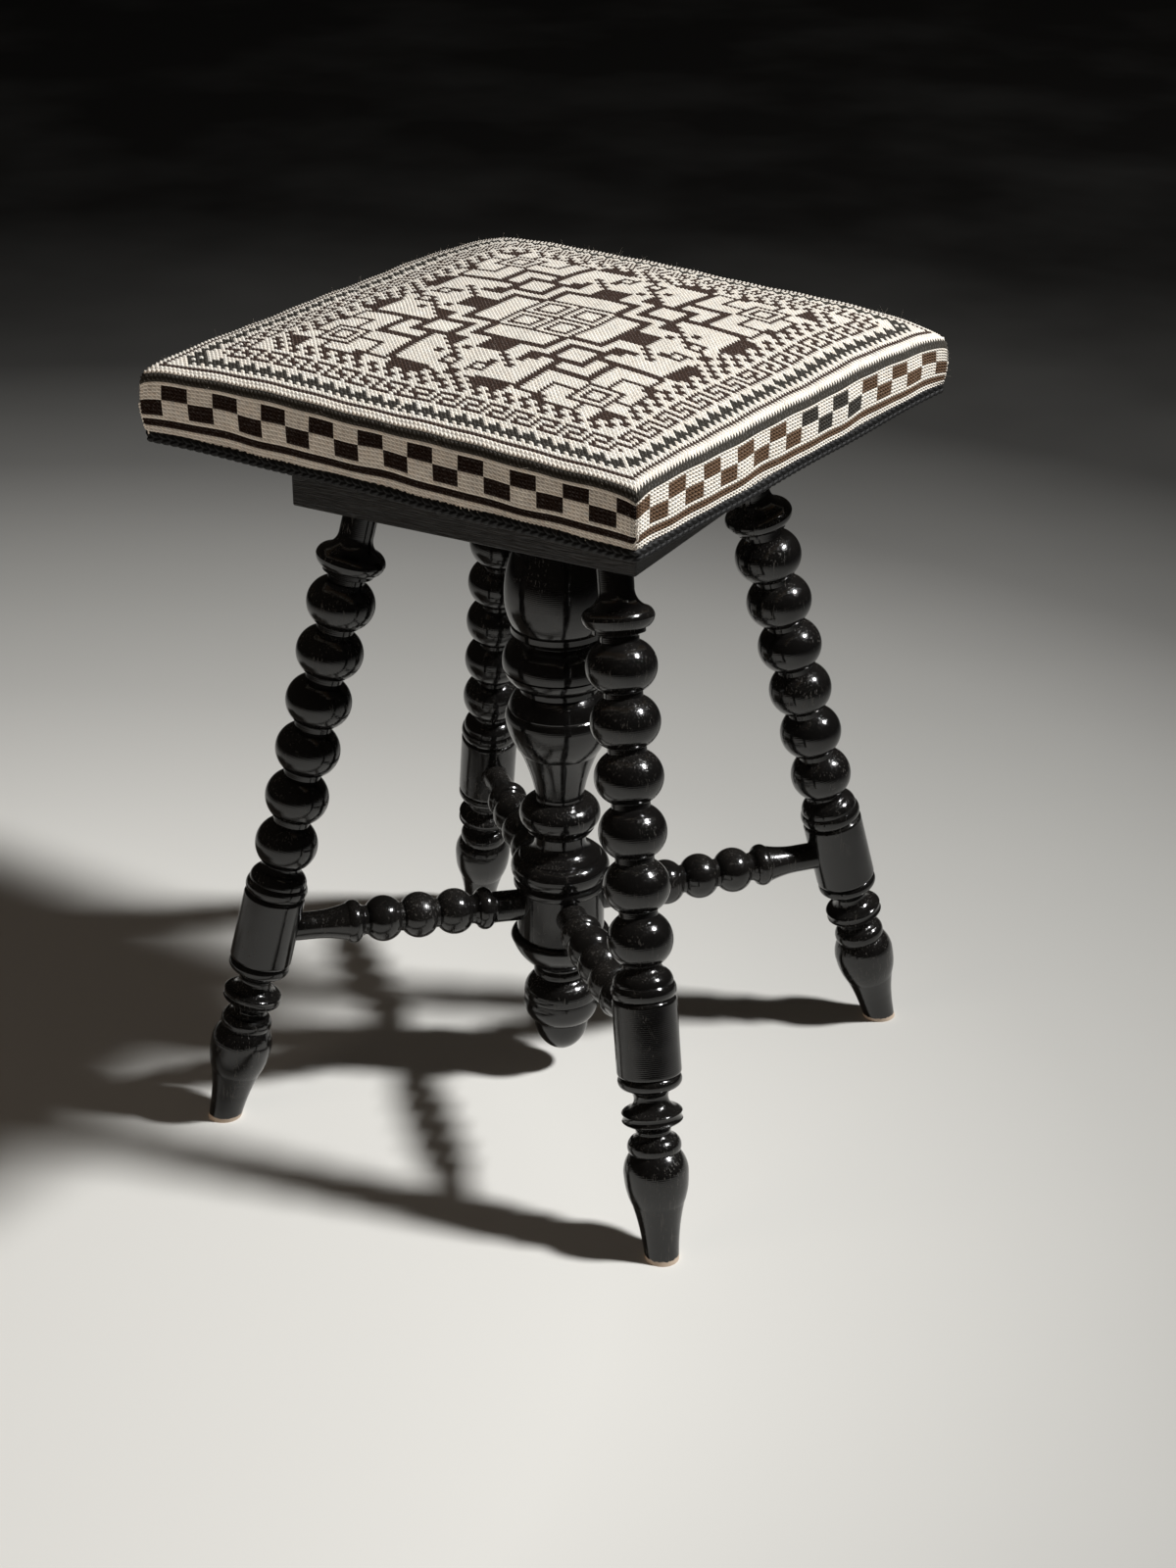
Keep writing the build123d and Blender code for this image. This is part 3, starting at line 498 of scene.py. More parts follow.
def painted_light_pool_floor(name):
    """Pale floor in a painted pool of light, painted darker with distance from its middle by a ramp; faint
    mottle.
    """
    stage = bpy.context.scene.stool_stage
    material, start = new_material(name)
    place = object_place(start)
    share = (place.distance(PAINTED_LIGHT_POOL_MIDDLE) / PAINTED_LIGHT_POOL_REACH).clamped().ramp(*PAINTED_LIGHT_POOL_RAMP)
    mottle = (place.noise(3.0, 3.0) - 0.5) * 0.03
    base = (share + mottle).clamped().blended(stage.floor, stage.floor_painted_dark)
    return surface(material, start, colour=base, rough=0.8, specular=0.1)


def dress(material, *nodes):
    """Puts a material on CAD nodes."""
    for node in nodes:
        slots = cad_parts[node].data.materials
        slots.clear()
        slots.append(material)


# Meshes

def put_piece(name, points, faces, materials):
    """Makes a smooth-shaded object of whole arrays of points and faces."""
    mesh = bpy.data.meshes.new(name)
    mesh.from_pydata(points.tolist(), [], faces)
    mesh.polygons.foreach_set("use_smooth", np.ones(len(mesh.polygons), bool))
    for material in materials:
        mesh.materials.append(material)
    mesh.validate()
    mesh.update()
    piece = bpy.data.objects.new(name, mesh)
    bpy.context.scene.collection.objects.link(piece)
    return piece


def grid_faces(rows, columns, closed_rows=False, closed_columns=False):
    """Quads of a grid of rows and columns of points, which may be closed into rings."""
    row = np.arange(rows if closed_rows else rows - 1)[:, None]
    column = np.arange(columns if closed_columns else columns - 1)[None, :]
    here, below, right = row * columns, (row + 1) % rows * columns, (column + 1) % columns
    quads = np.stack((here + column, here + right, below + right, below + column), -1)
    return quads.reshape(-1, 4)


def turned(points, turn):
    """Points turned about the upright axis."""
    c, s = math.cos(turn), math.sin(turn)
    return points @ np.array(((c, s, 0.0), (-s, c, 0.0), (0.0, 0.0, 1.0)))


def round_corners(x, y, half, corner):
    """A square plan with its corner squares bent into quarter discs.

    Each distance into the corner square is shortened by the root of one less half the other's square.
    """
    s = np.clip((np.abs(x) - half + corner) / corner, 0.0, 1.0)
    t = np.clip((np.abs(y) - half + corner) / corner, 0.0, 1.0)
    return (x - np.sign(x) * corner * s * (1.0 - np.sqrt(1.0 - t * t / 2.0)),
            y - np.sign(y) * corner * t * (1.0 - np.sqrt(1.0 - s * s / 2.0)))


def quarter_turned(x, y, quarters):
    """Plan points turned about the middle by so many right angles."""
    c, s = np.cos(quarters * QUARTER), np.sin(quarters * QUARTER)
    return np.stack((c * x - s * y, s * x + c * y), -1)


def rounded_square(distance, half, corner):
    """Points and outward normals of a rounded square's outline, at distances along it.

    Each quarter is a straight run and a quarter circle, and the four quarters are turned by right angles.
    """
    straight = 2.0 * (half - corner)
    side, rest = np.divmod(distance, straight + corner * QUARTER)
    bend = np.clip((rest - straight) / corner, 0.0, None)
    x = np.minimum(rest, straight) - straight / 2.0 + corner * np.sin(bend)
    y = -(half - corner) - corner * np.cos(bend)
    return quarter_turned(x, y, side), quarter_turned(np.sin(bend), -np.cos(bend), side)


# The needlepoint chart

# A run of stitches is its first and last stitch along a side, then its first and last row from the middle.
STAR = ((0, 0, 0, 9), (9, 9, 0, 9), (16, 17, 0, 9), (10, 17, 8, 9), (18, 23, 0, 3), (20, 25, 8, 9),
        (20, 23, 10, 11), (22, 36, 15, 16), (37, 37, 16, 21), (37, 39, 21, 23), (25, 26, 17, 26),
        (31, 31, 21, 26), (31, 36, 21, 21), (36, 39, 31, 31), (39, 39, 24, 30), (36, 39, 36, 39),
        (35, 37, 0, 1), (40, 41, 0, 1), (30, 33, 2, 5), (34, 34, 2, 2), (36, 39, 6, 14), (37, 37, 4, 5))
STAR_RINGS = ((2, 7, 1), (12, 21, 2), (27, 35, 1), (29, 33, 1))  # first and last stitch, thickness
STAR_HOLE = (31, 32, 3, 4)
STAR_BEADS = ((24, 4), (26, 6), (28, 8), (28, 4), (38, 2))
KEY = ((0, 0, 45, 49), (0, 4, 45, 45), (4, 4, 45, 47), (2, 4, 47, 47), (2, 2, 47, 49), (2, 6, 49, 49))
KEY_MIDDLE = ((0, 2, 45, 45), (2, 2, 45, 47), (0, 2, 47, 47), (0, 0, 47, 49), (0, 4, 49, 49))
KEY_CORNER = ((46, 46, 46, 49), (48, 48, 48, 48))
TOOTH = ((0, 0, 51, 51), (-1, 1, 52, 52), (-1, 2, 53, 53), (-1, -1, 54, 54), (1, 1, 54, 54))
BEADS = ((4, 5, 40, 41), (2, 3, 42, 43))
INNER_LINE = (0, 56, 56, 56)
EDGE_BAND = (0, 60, 59, 60)


def work(chart, x0, x1, y0, y1, wool_number=BROWN):
    """Works a block of stitches and its seven mirror images on the chart."""
    for image in (chart, chart.T):
        for view in (image, image[::-1], image[:, ::-1], image[::-1, ::-1]):
            view[MIDDLE + x0:MIDDLE + x1 + 1, MIDDLE + y0:MIDDLE + y1 + 1] = wool_number


def work_runs(chart, runs, start=0, wool_number=BROWN):
    """Works runs of stitches, moved along the side to a start."""
    for first, last, low, high in runs:
        work(chart, start + first, start + last, low, high, wool_number)


def work_ring(chart, low, high, thick):
    """Works the outline of a square on the diagonal."""
    work(chart, low, high, low, high)
    work(chart, low + thick, high - thick, low + thick, high - thick, CREAM)


def chart_middle(chart):
    """Works the star in the middle: diagonal squares, then cross, frames and bars, then small beads."""
    for ring in STAR_RINGS:
        work_ring(chart, *ring)
    work_runs(chart, STAR)
    work(chart, *STAR_HOLE, CREAM)
    for x, y in STAR_BEADS:
        work(chart, x, x + 1, y, y + 1)


def chart_border(chart):
    """Works the rows of beads, the key, the teeth and the outer lines."""
    for bead in range(0, 40, 4):
        work_runs(chart, BEADS, bead)
    for start in range(4, 41, 6):
        work_runs(chart, KEY, start)
    work_runs(chart, KEY_MIDDLE + KEY_CORNER)
    work(chart, *INNER_LINE)
    for tip in range(2, 51, 4):
        work_runs(chart, TOOTH, tip, CHARCOAL)
    work(chart, *EDGE_BAND, CHARCOAL)


def needlepoint_chart():
    """The wool of each stitch of the seat's top, counted from the front left corner."""
    chart = np.full((STITCHES, STITCHES), CREAM)
    chart_border(chart)
    chart_middle(chart)
    return chart


# Kinds and heights in millimetres of the wall's rows of stitches, from the top
WALL_ROWS = ((("cream", 2.3),) + (("upper", 2.25),) * 4 + (("lower", 2.475),) * 4
             + (("cream", 2.5), ("brown", 2.3), ("brown", 2.3))
             + (("cream", 2.1), ("cream", 2.1), ("cream", 3.2), ("cream", 3.3)))
CHECK = 6  # stitches to a check of the wall
FIRST_CHECK = np.array((1, 0, 1, 0))  # stitches before the first whole check, round from the front
REPAIRED_CHECKS = (10, 13)  # first and last check of the right side that are worked again in charcoal
BRAIDED_ROWS = 3  # rows of the wall that the braid covers


def wall_chart():
    """The wool of each wall stitch: rows from the top, then four sides of stitches, the checks by turns."""
    stitch = np.tile(np.arange(STITCHES), 4)
    side = np.repeat(np.arange(4), STITCHES)
    check = (stitch - FIRST_CHECK[side]) // CHECK
    upper = (check + side) % 2 == 1
    repaired = (side == RIGHT) & (check >= REPAIRED_CHECKS[0]) & (check <= REPAIRED_CHECKS[1])
    # Painted shade: the front and left take the darkened copy of the check brown, the right and back its lit
    # copy.
    brown = np.where((side == RIGHT) | (side == BACK), CHECK_BROWN_LIT, CHECK_BROWN_PAINTED_SHADE)
    dark = np.where(repaired, CHARCOAL, brown)
    rows = {"cream": np.full(stitch.size, CREAM), "brown": brown,
            "upper": np.where(upper, dark, CREAM), "lower": np.where(~upper, dark, CREAM)}
    return np.array([rows[kind] for kind, _ in WALL_ROWS])


# The seat's cover

# Waves of hand work, each given as a size, a rate for each direction, and a start
TOP_WAVES = ((1.0, 8.0, 2.0, 1.0), (0.8, -3.0, 11.0, 0.0), (0.5, 29.0, 29.0, 0.0))
WANDER_RIGHT = ((0.0006, 0.0, 47.0, 1.3), (0.0004, 31.0, 83.0, 0.0))
WANDER_BACK = ((0.0006, 41.0, 0.0, 0.4), (0.0004, 77.0, -29.0, 2.0))
WANDER_FADE = 0.05  # distance from the border over which the rows stop wandering
WALL_RIPPLES = ((1.0, 9.0, 0.5), (1.0, 23.0, 2.0))
WALL_BULGES = ((1.0, 13.0, 1.0), (1.0, 37.0, 0.0))
BRAID_SWAY = ((1.0, 11.0, 0.7),)
CORNER_POWER, PINCH_POWER = 4, 20  # powers by which a corner's drop and its pinch fade
SLACK = 0.6  # share of the swell by which the stuffed form starts below its crown
TONE_CHANGE, WARMTH_CHANGE = (0.055, 0.14), (0.012, 0.03)  # spread from stitch to stitch, and the most


def waves(rows, *places):
    """A sum of sines: each row's size times the sine of its rates times the places, plus its start."""
    return sum(size * np.sin(sum(rate * place for rate, place in zip(rates, places)) + start)
               for size, *rates, start in rows)


def over_the_edge(along, half, bend):
    """Distance out and drop of a point so far along the cover from its middle.

    It runs straight to the edge's round, then goes down along a quarter circle.
    """
    straight = half - bend
    swing = np.clip((np.abs(along) - straight) / bend, 0.0, QUARTER)
    out = np.minimum(np.abs(along), straight) + bend * np.sin(swing)
    return np.sign(along) * out, bend * (1.0 - np.cos(swing))


def near_corner(a, b, corner):
    """Nearness to a corner: the fourth power of the product of a point's shares of the half side."""
    return (np.clip(corner[0] * a, 0.0, 1.0) * np.clip(corner[1] * b, 0.0, 1.0)) ** CORNER_POWER


def seat_lean(a, b):
    """How much higher or lower the worn top lies at a point, given as shares of the half side.

    A plane that drops to the right with slow waves on it, less each corner's drop times the nearness to it,
    and less the pinch of all corners, which goes by the twentieth power of the shares' product.
    """
    seat = bpy.context.scene.stool_seat
    pinch = seat.pinch * np.clip(np.abs(a * b), 0.0, 1.0) ** PINCH_POWER
    lean = -seat.lean_right * a + seat.waver * waves(TOP_WAVES, a, b) - pinch
    for drop, corner in zip(seat.drops, CORNERS):
        lean = lean - drop * near_corner(a, b, corner)
    return lean


def eared(x, y):
    """A plan whose front left and back right corners stand out, by the nearness to each."""
    seat = bpy.context.scene.stool_seat
    a, b = x / seat.half_side, y / seat.half_side
    front_left, _, back_right, _ = CORNERS
    out = seat.back_ear * near_corner(a, b, back_right) - seat.ear * near_corner(a, b, front_left)
    return x + out, y + out


def cover_top(across, back, crown):
    """Points of the seat's top for distances along the cloth to the right and to the back.

    Height is the brow plus the crown times a flattened hump in both directions, less the edge's drop.
    """
    seat = bpy.context.scene.stool_seat
    x, drop_x = over_the_edge(across, seat.half_side, seat.edge_round)
    y, drop_y = over_the_edge(back, seat.half_side, seat.edge_round)
    a, b = x / seat.half_side, y / seat.half_side
    hump = (1.0 - np.abs(a) ** seat.fullness) * (1.0 - np.abs(b) ** seat.fullness)
    z = seat.brow + crown * hump - np.maximum(drop_x, drop_y) + seat_lean(a, b)
    x, y = eared(*round_corners(x, y, seat.half_side, seat.corner))
    return np.stack((x, y, z), -1)


def cloth_half_length():
    """Length of cloth from the middle of the top to the end of the edge's round."""
    seat = bpy.context.scene.stool_seat
    return seat.half_side + seat.edge_round * (QUARTER - 1.0)


def cloth_line():
    """Places of the half stitches along the cloth: even on the top, and closer over the rounded edge."""
    seat = bpy.context.scene.stool_seat
    last, reach, even = STITCHES / 2.0, cloth_half_length(), EVEN_STITCHES * seat.pitch
    stitch = np.linspace(-last, last, NODES + 1)
    return np.interp(stitch, (-last, -EVEN_STITCHES, EVEN_STITCHES, last), (-reach, -even, even, reach))


def swollen(cells=40, frames=20, held_width=0.012, pressure=4.0, stiffness=25.0):
    """How far the stuffing lifts the cover, on a coarse grid: a pressed cloth held along its edges.

    Each point's move is shortened so that it never passes the swell, by the hyperbolic tangent.
    """
    seat = bpy.context.scene.stool_seat
    scene = bpy.context.scene
    reach = cloth_half_length()
    line = np.linspace(-reach, reach, cells + 1)
    across, back = np.meshgrid(line, line, indexing="ij")
    rest = cover_top(across, back, seat.crown - SLACK * seat.swell).reshape(-1, 3)
    faces = grid_faces(cells + 1, cells + 1)[:, ::-1]
    form = put_piece("stuffed_form", rest, faces.tolist(), ())
    edge = np.abs(line) > reach - held_width
    held = form.vertex_groups.new(name="held")
    held.add(np.flatnonzero(edge[:, None] | edge[None, :]).tolist(), 1.0, "REPLACE")
    cloth = form.modifiers.new("stuffing", "CLOTH").settings
    cloth.vertex_group_mass = held.name
    cloth.use_pressure = True
    cloth.uniform_pressure_force = pressure
    cloth.effector_weights.gravity = 0.0
    cloth.tension_stiffness = cloth.compression_stiffness = stiffness
    for step in range(1, frames + 1):
        scene.frame_set(step)
    made = form.evaluated_get(bpy.context.evaluated_depsgraph_get()).data
    points = np.empty(3 * len(made.vertices))
    made.vertices.foreach_get("co", points)
    scene.frame_set(1)
    mesh = form.data
    bpy.data.objects.remove(form)
    bpy.data.meshes.remove(mesh)
    moved = points.reshape(-1, 3) - rest
    size = np.linalg.norm(moved, axis=1, keepdims=True)
    moved *= seat.swell * np.tanh(size / seat.swell) / np.maximum(size, 1e-9)
    return moved.reshape(cells + 1, cells + 1, 3)


def between(field, place):
    """A coarse field read smoothly at fine places from nought to one, down its rows and then along them."""
    cells = field.shape[0] - 1
    low = np.minimum((place * cells).astype(int), cells - 1)
    share = place * cells - low
    share = (share * share * (3.0 - 2.0 * share))[:, None, None]
    rows = (field[low] * (1.0 - share) + field[low + 1] * share).swapaxes(0, 1)
    return (rows[low] * (1.0 - share) + rows[low + 1] * share).swapaxes(0, 1)


def hand_wobble(points, reach):
    """Small wandering of hand-worked rows: two slow waves each way, fading out at the border."""
    x, y = points[..., 0], points[..., 1]
    fade = np.clip((reach - np.maximum(np.abs(x), np.abs(y))) / WANDER_FADE, 0.0, 1.0)
    wander = np.stack((waves(WANDER_RIGHT, x, y), waves(WANDER_BACK, x, y), np.zeros_like(x)), -1)
    return wander * fade[..., None]


def stitch_relief():
    """Height of the top's half stitch nodes: slanting stitches, full in the middle and low at the ends."""
    p, q = np.meshgrid(np.arange(NODES + 1), np.arange(NODES + 1), indexing="ij")
    odd = p % 2 == 1
    relief = np.where(q % 2 == 1, np.where(odd, FULL, BESIDE), np.where(odd, ROW_GAP, ROW_JOIN))
    border = (p == 0) | (q == 0) | (p == NODES) | (q == NODES)
    return np.where(border, 0.0, relief)


def grid_normals(points):
    """Unit normals of a grid of points, from the differences along its two directions."""
    normal = np.cross(np.gradient(points, axis=0), np.gradient(points, axis=1))
    return normal / np.maximum(np.linalg.norm(normal, axis=-1, keepdims=True), 1e-12)


def cover_outline():
    """Grid numbers of the top's border, from the front left corner: front, right, back and left."""
    run = np.arange(NODES)
    row = NODES + 1
    return np.concatenate((run * row, NODES * row + run, (NODES - run) * row + NODES, NODES - run))


def wall_rings(border):
    """Rings of points below the top's border: the stitched wall, the hem, and the hidden inside.

    Each ring is the border scaled to its own half side. The wall has a slight bow, ripples and bulges that
    fade out at its top and foot, and a row of stitches for every two rings.
    """
    seat = bpy.context.scene.stool_seat
    plan, top_height = border[:, :2], border[:, 2]
    drops = np.array([size for _, size in WALL_ROWS]) / MILLIMETRES
    edges = np.concatenate(((0.0,), np.cumsum(drops)))
    levels = np.sort(np.concatenate((edges[1:], edges[:-1] + drops / 2.0)))
    share = levels / levels[-1]
    half = seat.half_side - seat.draw_in * share + seat.bow * np.sin(math.pi * share)
    turn = TURN * np.arange(len(border)) / len(border)
    fade = np.sin(math.pi * share)[:, None]
    ripple = seat.waver * waves(WALL_RIPPLES, turn) * fade
    bulge = seat.waver * waves(WALL_BULGES, turn) * fade
    height = top_height + (seat.foot - top_height) * share[:, None] + ripple
    run = np.roll(plan, -1, 0) - np.roll(plan, 1, 0)
    out = np.stack((run[:, 1], -run[:, 0]), -1) / np.linalg.norm(run, axis=1, keepdims=True)
    ring, column = np.meshgrid(np.arange(levels.size), np.arange(len(border)), indexing="ij")
    relief = np.where(ring % 2 == 0, np.where(column % 2 == 1, FULL, BESIDE), WALL_GAP) * seat.relief
    wall = plan[None] * (half / seat.half_side)[:, None, None] + (relief + bulge)[..., None] * out
    foot = half[-1]
    inside = ((foot - seat.hem, seat.foot), (foot - seat.hem, seat.foot + HEM_THICK),
              (foot - WALL_THICK, seat.foot + HEM_THICK), (foot - WALL_THICK, seat.foot + CEILING))
    hidden = [np.column_stack((plan * (size / seat.half_side), np.full(len(border), level)))
              for size, level in inside]
    return np.concatenate((np.concatenate((wall, height[..., None]), -1), np.array(hidden)))


def stitch_faces():
    """Faces of the top as sheared quads, so that each stitch leans to the left, and their stitch numbers."""
    row = NODES + 1
    p, q = np.meshgrid(np.arange(1, NODES), np.arange(NODES), indexing="ij")
    p, q = p.ravel(), q.ravel()
    quads = np.stack((p * row + q, (p + 1) * row + q, p * row + q + 1, (p - 1) * row + q + 1), -1)
    step = np.arange(NODES)
    left = np.stack((step, row + step, step + 1), -1)
    right = np.stack((NODES * row + step, NODES * row + step + 1, (NODES - 1) * row + step + 1), -1)
    p = np.concatenate((p, np.zeros(NODES, int), np.full(NODES, NODES)))
    q = np.concatenate((q, step, step))
    stitch = np.clip((p + q % 2 - 1) // 2, 0, STITCHES - 1), q // 2
    return quads, np.concatenate((left, right)), stitch


def about_one(rng, shape, spread, most):
    """Random numbers about one, with a spread, and no further from it than the most."""
    return 1.0 + np.clip(rng.normal(0.0, spread, shape), -most, most)


def shaded(numbers, rng):
    """Linear colours of stitches: each wool's colour with a little change from stitch to stitch."""
    finish = bpy.context.scene.stool_finish
    wools = np.array((finish.cream, finish.brown, finish.charcoal, finish.check_brown_lit, finish.check_brown_painted_shade))
    change = about_one(rng, numbers.shape, *TONE_CHANGE)
    warm = about_one(rng, numbers.shape, *WARMTH_CHANGE)
    tint = np.stack((change * warm, change, change / warm), -1)
    return np.clip(wools[numbers] * tint, 0.0, 1.0)


def stitch_colours(stitch, rings, columns):
    """Colours of the cover's faces: the wool of each stitch, and plain cream on the hem and the inside."""
    rng = np.random.default_rng(COVER_SEED)
    cream = np.array(bpy.context.scene.stool_finish.cream)
    walls = shaded(wall_chart(), rng)
    top = shaded(needlepoint_chart(), rng)[stitch]
    row = np.minimum(np.arange(rings) // 2, len(WALL_ROWS) - 1)
    sides = walls[row[:, None], np.arange(columns)[None, :] // 2]
    sides[2 * len(WALL_ROWS):] = cream
    return np.concatenate((top, sides.reshape(-1, 3), np.tile(cream, (columns, 1))))


def stitch_places(quads, triangles, rings, columns):
    """Places of the faces' corners on the chart: rows count up on the top and down on the wall."""
    node = np.arange(TOP_NODES)
    top = np.stack((node // (NODES + 1), node % (NODES + 1)), -1) / 2.0
    ring, column = np.meshgrid(np.arange(rings + 1), np.arange(columns + 1), indexing="ij")
    side = np.stack((column, -ring), -1) / 2.0
    walls = np.stack((side[:-1, :-1], side[1:, :-1], side[1:, 1:], side[:-1, 1:]), 2)
    ceiling = np.zeros((3 * columns, 2))
    return np.concatenate([part.reshape(-1, 2) for part in (top[quads], top[triangles], walls, ceiling)])


def stuffed_top():
    """Grid of the top's half stitch nodes: the swollen form with wandering rows and its stitches' relief."""
    seat = bpy.context.scene.stool_seat
    line = cloth_line()
    across, back = np.meshgrid(line, line, indexing="ij")
    top = cover_top(across, back, seat.crown - SLACK * seat.swell)
    top += between(swollen(), (line - line[0]) / (line[-1] - line[0]))
    top += hand_wobble(top, line[-1])
    return top + (stitch_relief() * seat.relief)[..., None] * grid_normals(top)


def needlepoint_cover():
    """The whole cover as one closed skin, with a colour and a place on the chart for every stitch."""
    top = stuffed_top().reshape(-1, 3)
    outline = cover_outline()
    rings = wall_rings(top[outline])
    count, columns = rings.shape[:2]
    points = np.concatenate((top, rings.reshape(-1, 3), ((0.0, 0.0, rings[-1, 0, 2]),)))
    ring_ids = TOP_NODES + np.arange(count * columns).reshape(count, columns)
    ring_ids = np.concatenate((outline[None], ring_ids))
    after = np.roll(ring_ids, -1, 1)
    walls = np.stack((ring_ids[:-1], ring_ids[1:], after[1:], after[:-1]), -1).reshape(-1, 4)
    ceiling = np.stack((ring_ids[-1], np.full(columns, len(points) - 1), after[-1]), -1)
    quads, triangles, stitch = stitch_faces()
    faces = quads.tolist() + triangles.tolist() + walls.tolist() + ceiling.tolist()
    sizes = np.repeat((4, 3, 4, 3), (len(quads), len(triangles), len(walls), len(ceiling)))
    colours = np.ones((sizes.sum(), 4))
    colours[:, :3] = np.repeat(stitch_colours(stitch, count, columns), sizes, axis=0)

    points = turned(points, bpy.context.scene.stool_seat.turn)
    piece = put_piece("needlepoint_cover", points, faces, (wool("wool_needlepoint"),))
    layer = piece.data.color_attributes.new("stitch_colour", "FLOAT_COLOR", "CORNER")
    layer.data.foreach_set("color", colours.ravel())
    chart = piece.data.uv_layers.new(name="stitches")
    chart.data.foreach_set("uv", stitch_places(quads, triangles, count, columns).ravel())
    return piece


# Braid and seams

def braid_strip(plaits=244, steps=14, rows=13, stand_off=0.0004, sunk=0.0003, arch_power=3.0, slant=2.2,
                stagger=1.1, thin=0.40, groove=0.40, groove_width=0.14, scallop=0.07, scallop_start=2.6):
    """The black braid: a plaited section carried round the foot of the seat.

    Across the strip its thickness is a flattened arch with a groove down its middle. A chevron wave along it
    makes the strands, and the two edges wave with the strands' ends.
    """
    seat = bpy.context.scene.stool_seat
    half, corner = seat.half_side - seat.draw_in + stand_off, seat.corner
    columns = plaits * steps
    share = np.arange(columns) / columns
    outline = 4.0 * (2.0 * (half - corner) + corner * QUARTER)
    plan, normal = rounded_square(share * outline, half, corner)
    plan = np.stack(eared(plan[:, 0], plan[:, 1]), -1)
    wave = TURN * np.arange(columns) / steps
    across = np.linspace(-1.0, 1.0, rows)[:, None]
    arch = np.sqrt(np.clip(1.0 - np.abs(across) ** arch_power, 0.0, 1.0))
    strand = np.abs(np.cos(wave / 2.0 + slant * np.abs(across) + stagger * (across > 0.0)))
    spine = 1.0 - groove * np.exp(-(across / groove_width) ** 2)
    thick = seat.gimp_thick * arch * (thin + (1.0 - thin) * strand) * spine
    middle = seat.foot - seat.gimp_hang + seat.gimp_height / 2.0
    edge = 1.0 + scallop * np.cos(wave + scallop_start)
    sway = seat.waver * waves(BRAID_SWAY, TURN * share)
    height = middle + across * seat.gimp_height / 2.0 * edge + sway
    front = np.concatenate((plan[None] + thick[..., None] * normal[None], height[..., None]), -1)
    back = front[[-1, 0]].copy()
    back[..., :2] = plan[None] - sunk * normal[None]
    points = turned(np.concatenate((front, back)).reshape(-1, 3), seat.turn)
    faces = grid_faces(rows + 2, columns, closed_rows=True, closed_columns=True)
    return put_piece("black_braid", points, faces.tolist(), (braid_fibre("braid_black"),))


def corner_seams(stitches=10, along=7, around=6, uneven=0.15, above_braid=0.0006, rise=0.55,
                 half_length=0.0013, half_turn=0.2, thick=0.0008, blunt=0.04, stand_off=0.0002, arch=0.0003):
    """Pale stitches up the lower half of the four corners: short tapering tubes bent round the corner.

    A stitch rises evenly along its length and swings round the corner's arc. Its thickness is a half ellipse
    with blunt ends, and it arches out from the corner by a parabola.
    """
    seat = bpy.context.scene.stool_seat
    rng = np.random.default_rng(SEAM_SEED)
    count = len(CORNERS) * stitches
    corner = np.repeat(np.arange(len(CORNERS)), stitches)
    level = np.tile(np.linspace(0.0, 1.0, stitches), len(CORNERS))
    size = 1.0 + rng.uniform(-uneven, uneven, count)
    sway = rng.uniform(-uneven, uneven, count)
    t = np.linspace(-1.0, 1.0, along)
    phi = np.arange(around) / around * TURN
    brow = seat.brow - seat.edge_round
    low = seat.foot - seat.gimp_hang + seat.gimp_height + above_braid
    high = low + rise * (brow - low) + seat_lean(*np.array(CORNERS).T)[corner] / 2.0
    height = (low + (high - low) * level)[:, None] + half_length * t
    fall = 1.0 - (height - seat.foot) / (brow - seat.foot)
    half = seat.half_side - seat.draw_in * fall + seat.bow * np.sin(math.pi * fall)
    centre = (half - seat.corner)[..., None]
    bead = (thick * np.sqrt(np.clip(1.0 - t ** 2, blunt, 1.0)) * size[:, None])[..., None]
    spread = (seat.corner + stand_off + arch * (1.0 - t ** 2))[:, None] + bead * np.cos(phi)
    face = (half_turn * t * size[:, None] + sway[:, None])[..., None] - QUARTER / 2.0
    x, y = centre + spread * np.cos(face), spread * np.sin(face) - centre
    plan = quarter_turned(x, y, (corner - 1)[:, None, None])
    x, y = eared(plan[..., 0], plan[..., 1])
    points = np.stack((x, y, height[..., None] + bead * np.sin(phi)), -1).reshape(-1, 3)
    start = (np.arange(count) * along * around)[:, None, None]
    sides = (start + grid_faces(along, around, closed_columns=True)[:, ::-1]).reshape(-1, 4)
    tip = np.arange(around)
    ends = (start + np.stack((tip, tip[::-1] + (along - 1) * around))).reshape(-1, around)
    faces = sides.tolist() + ends.tolist()
    return put_piece("corner_seams", turned(points, seat.turn), faces, (seam_thread("thread_white"),))


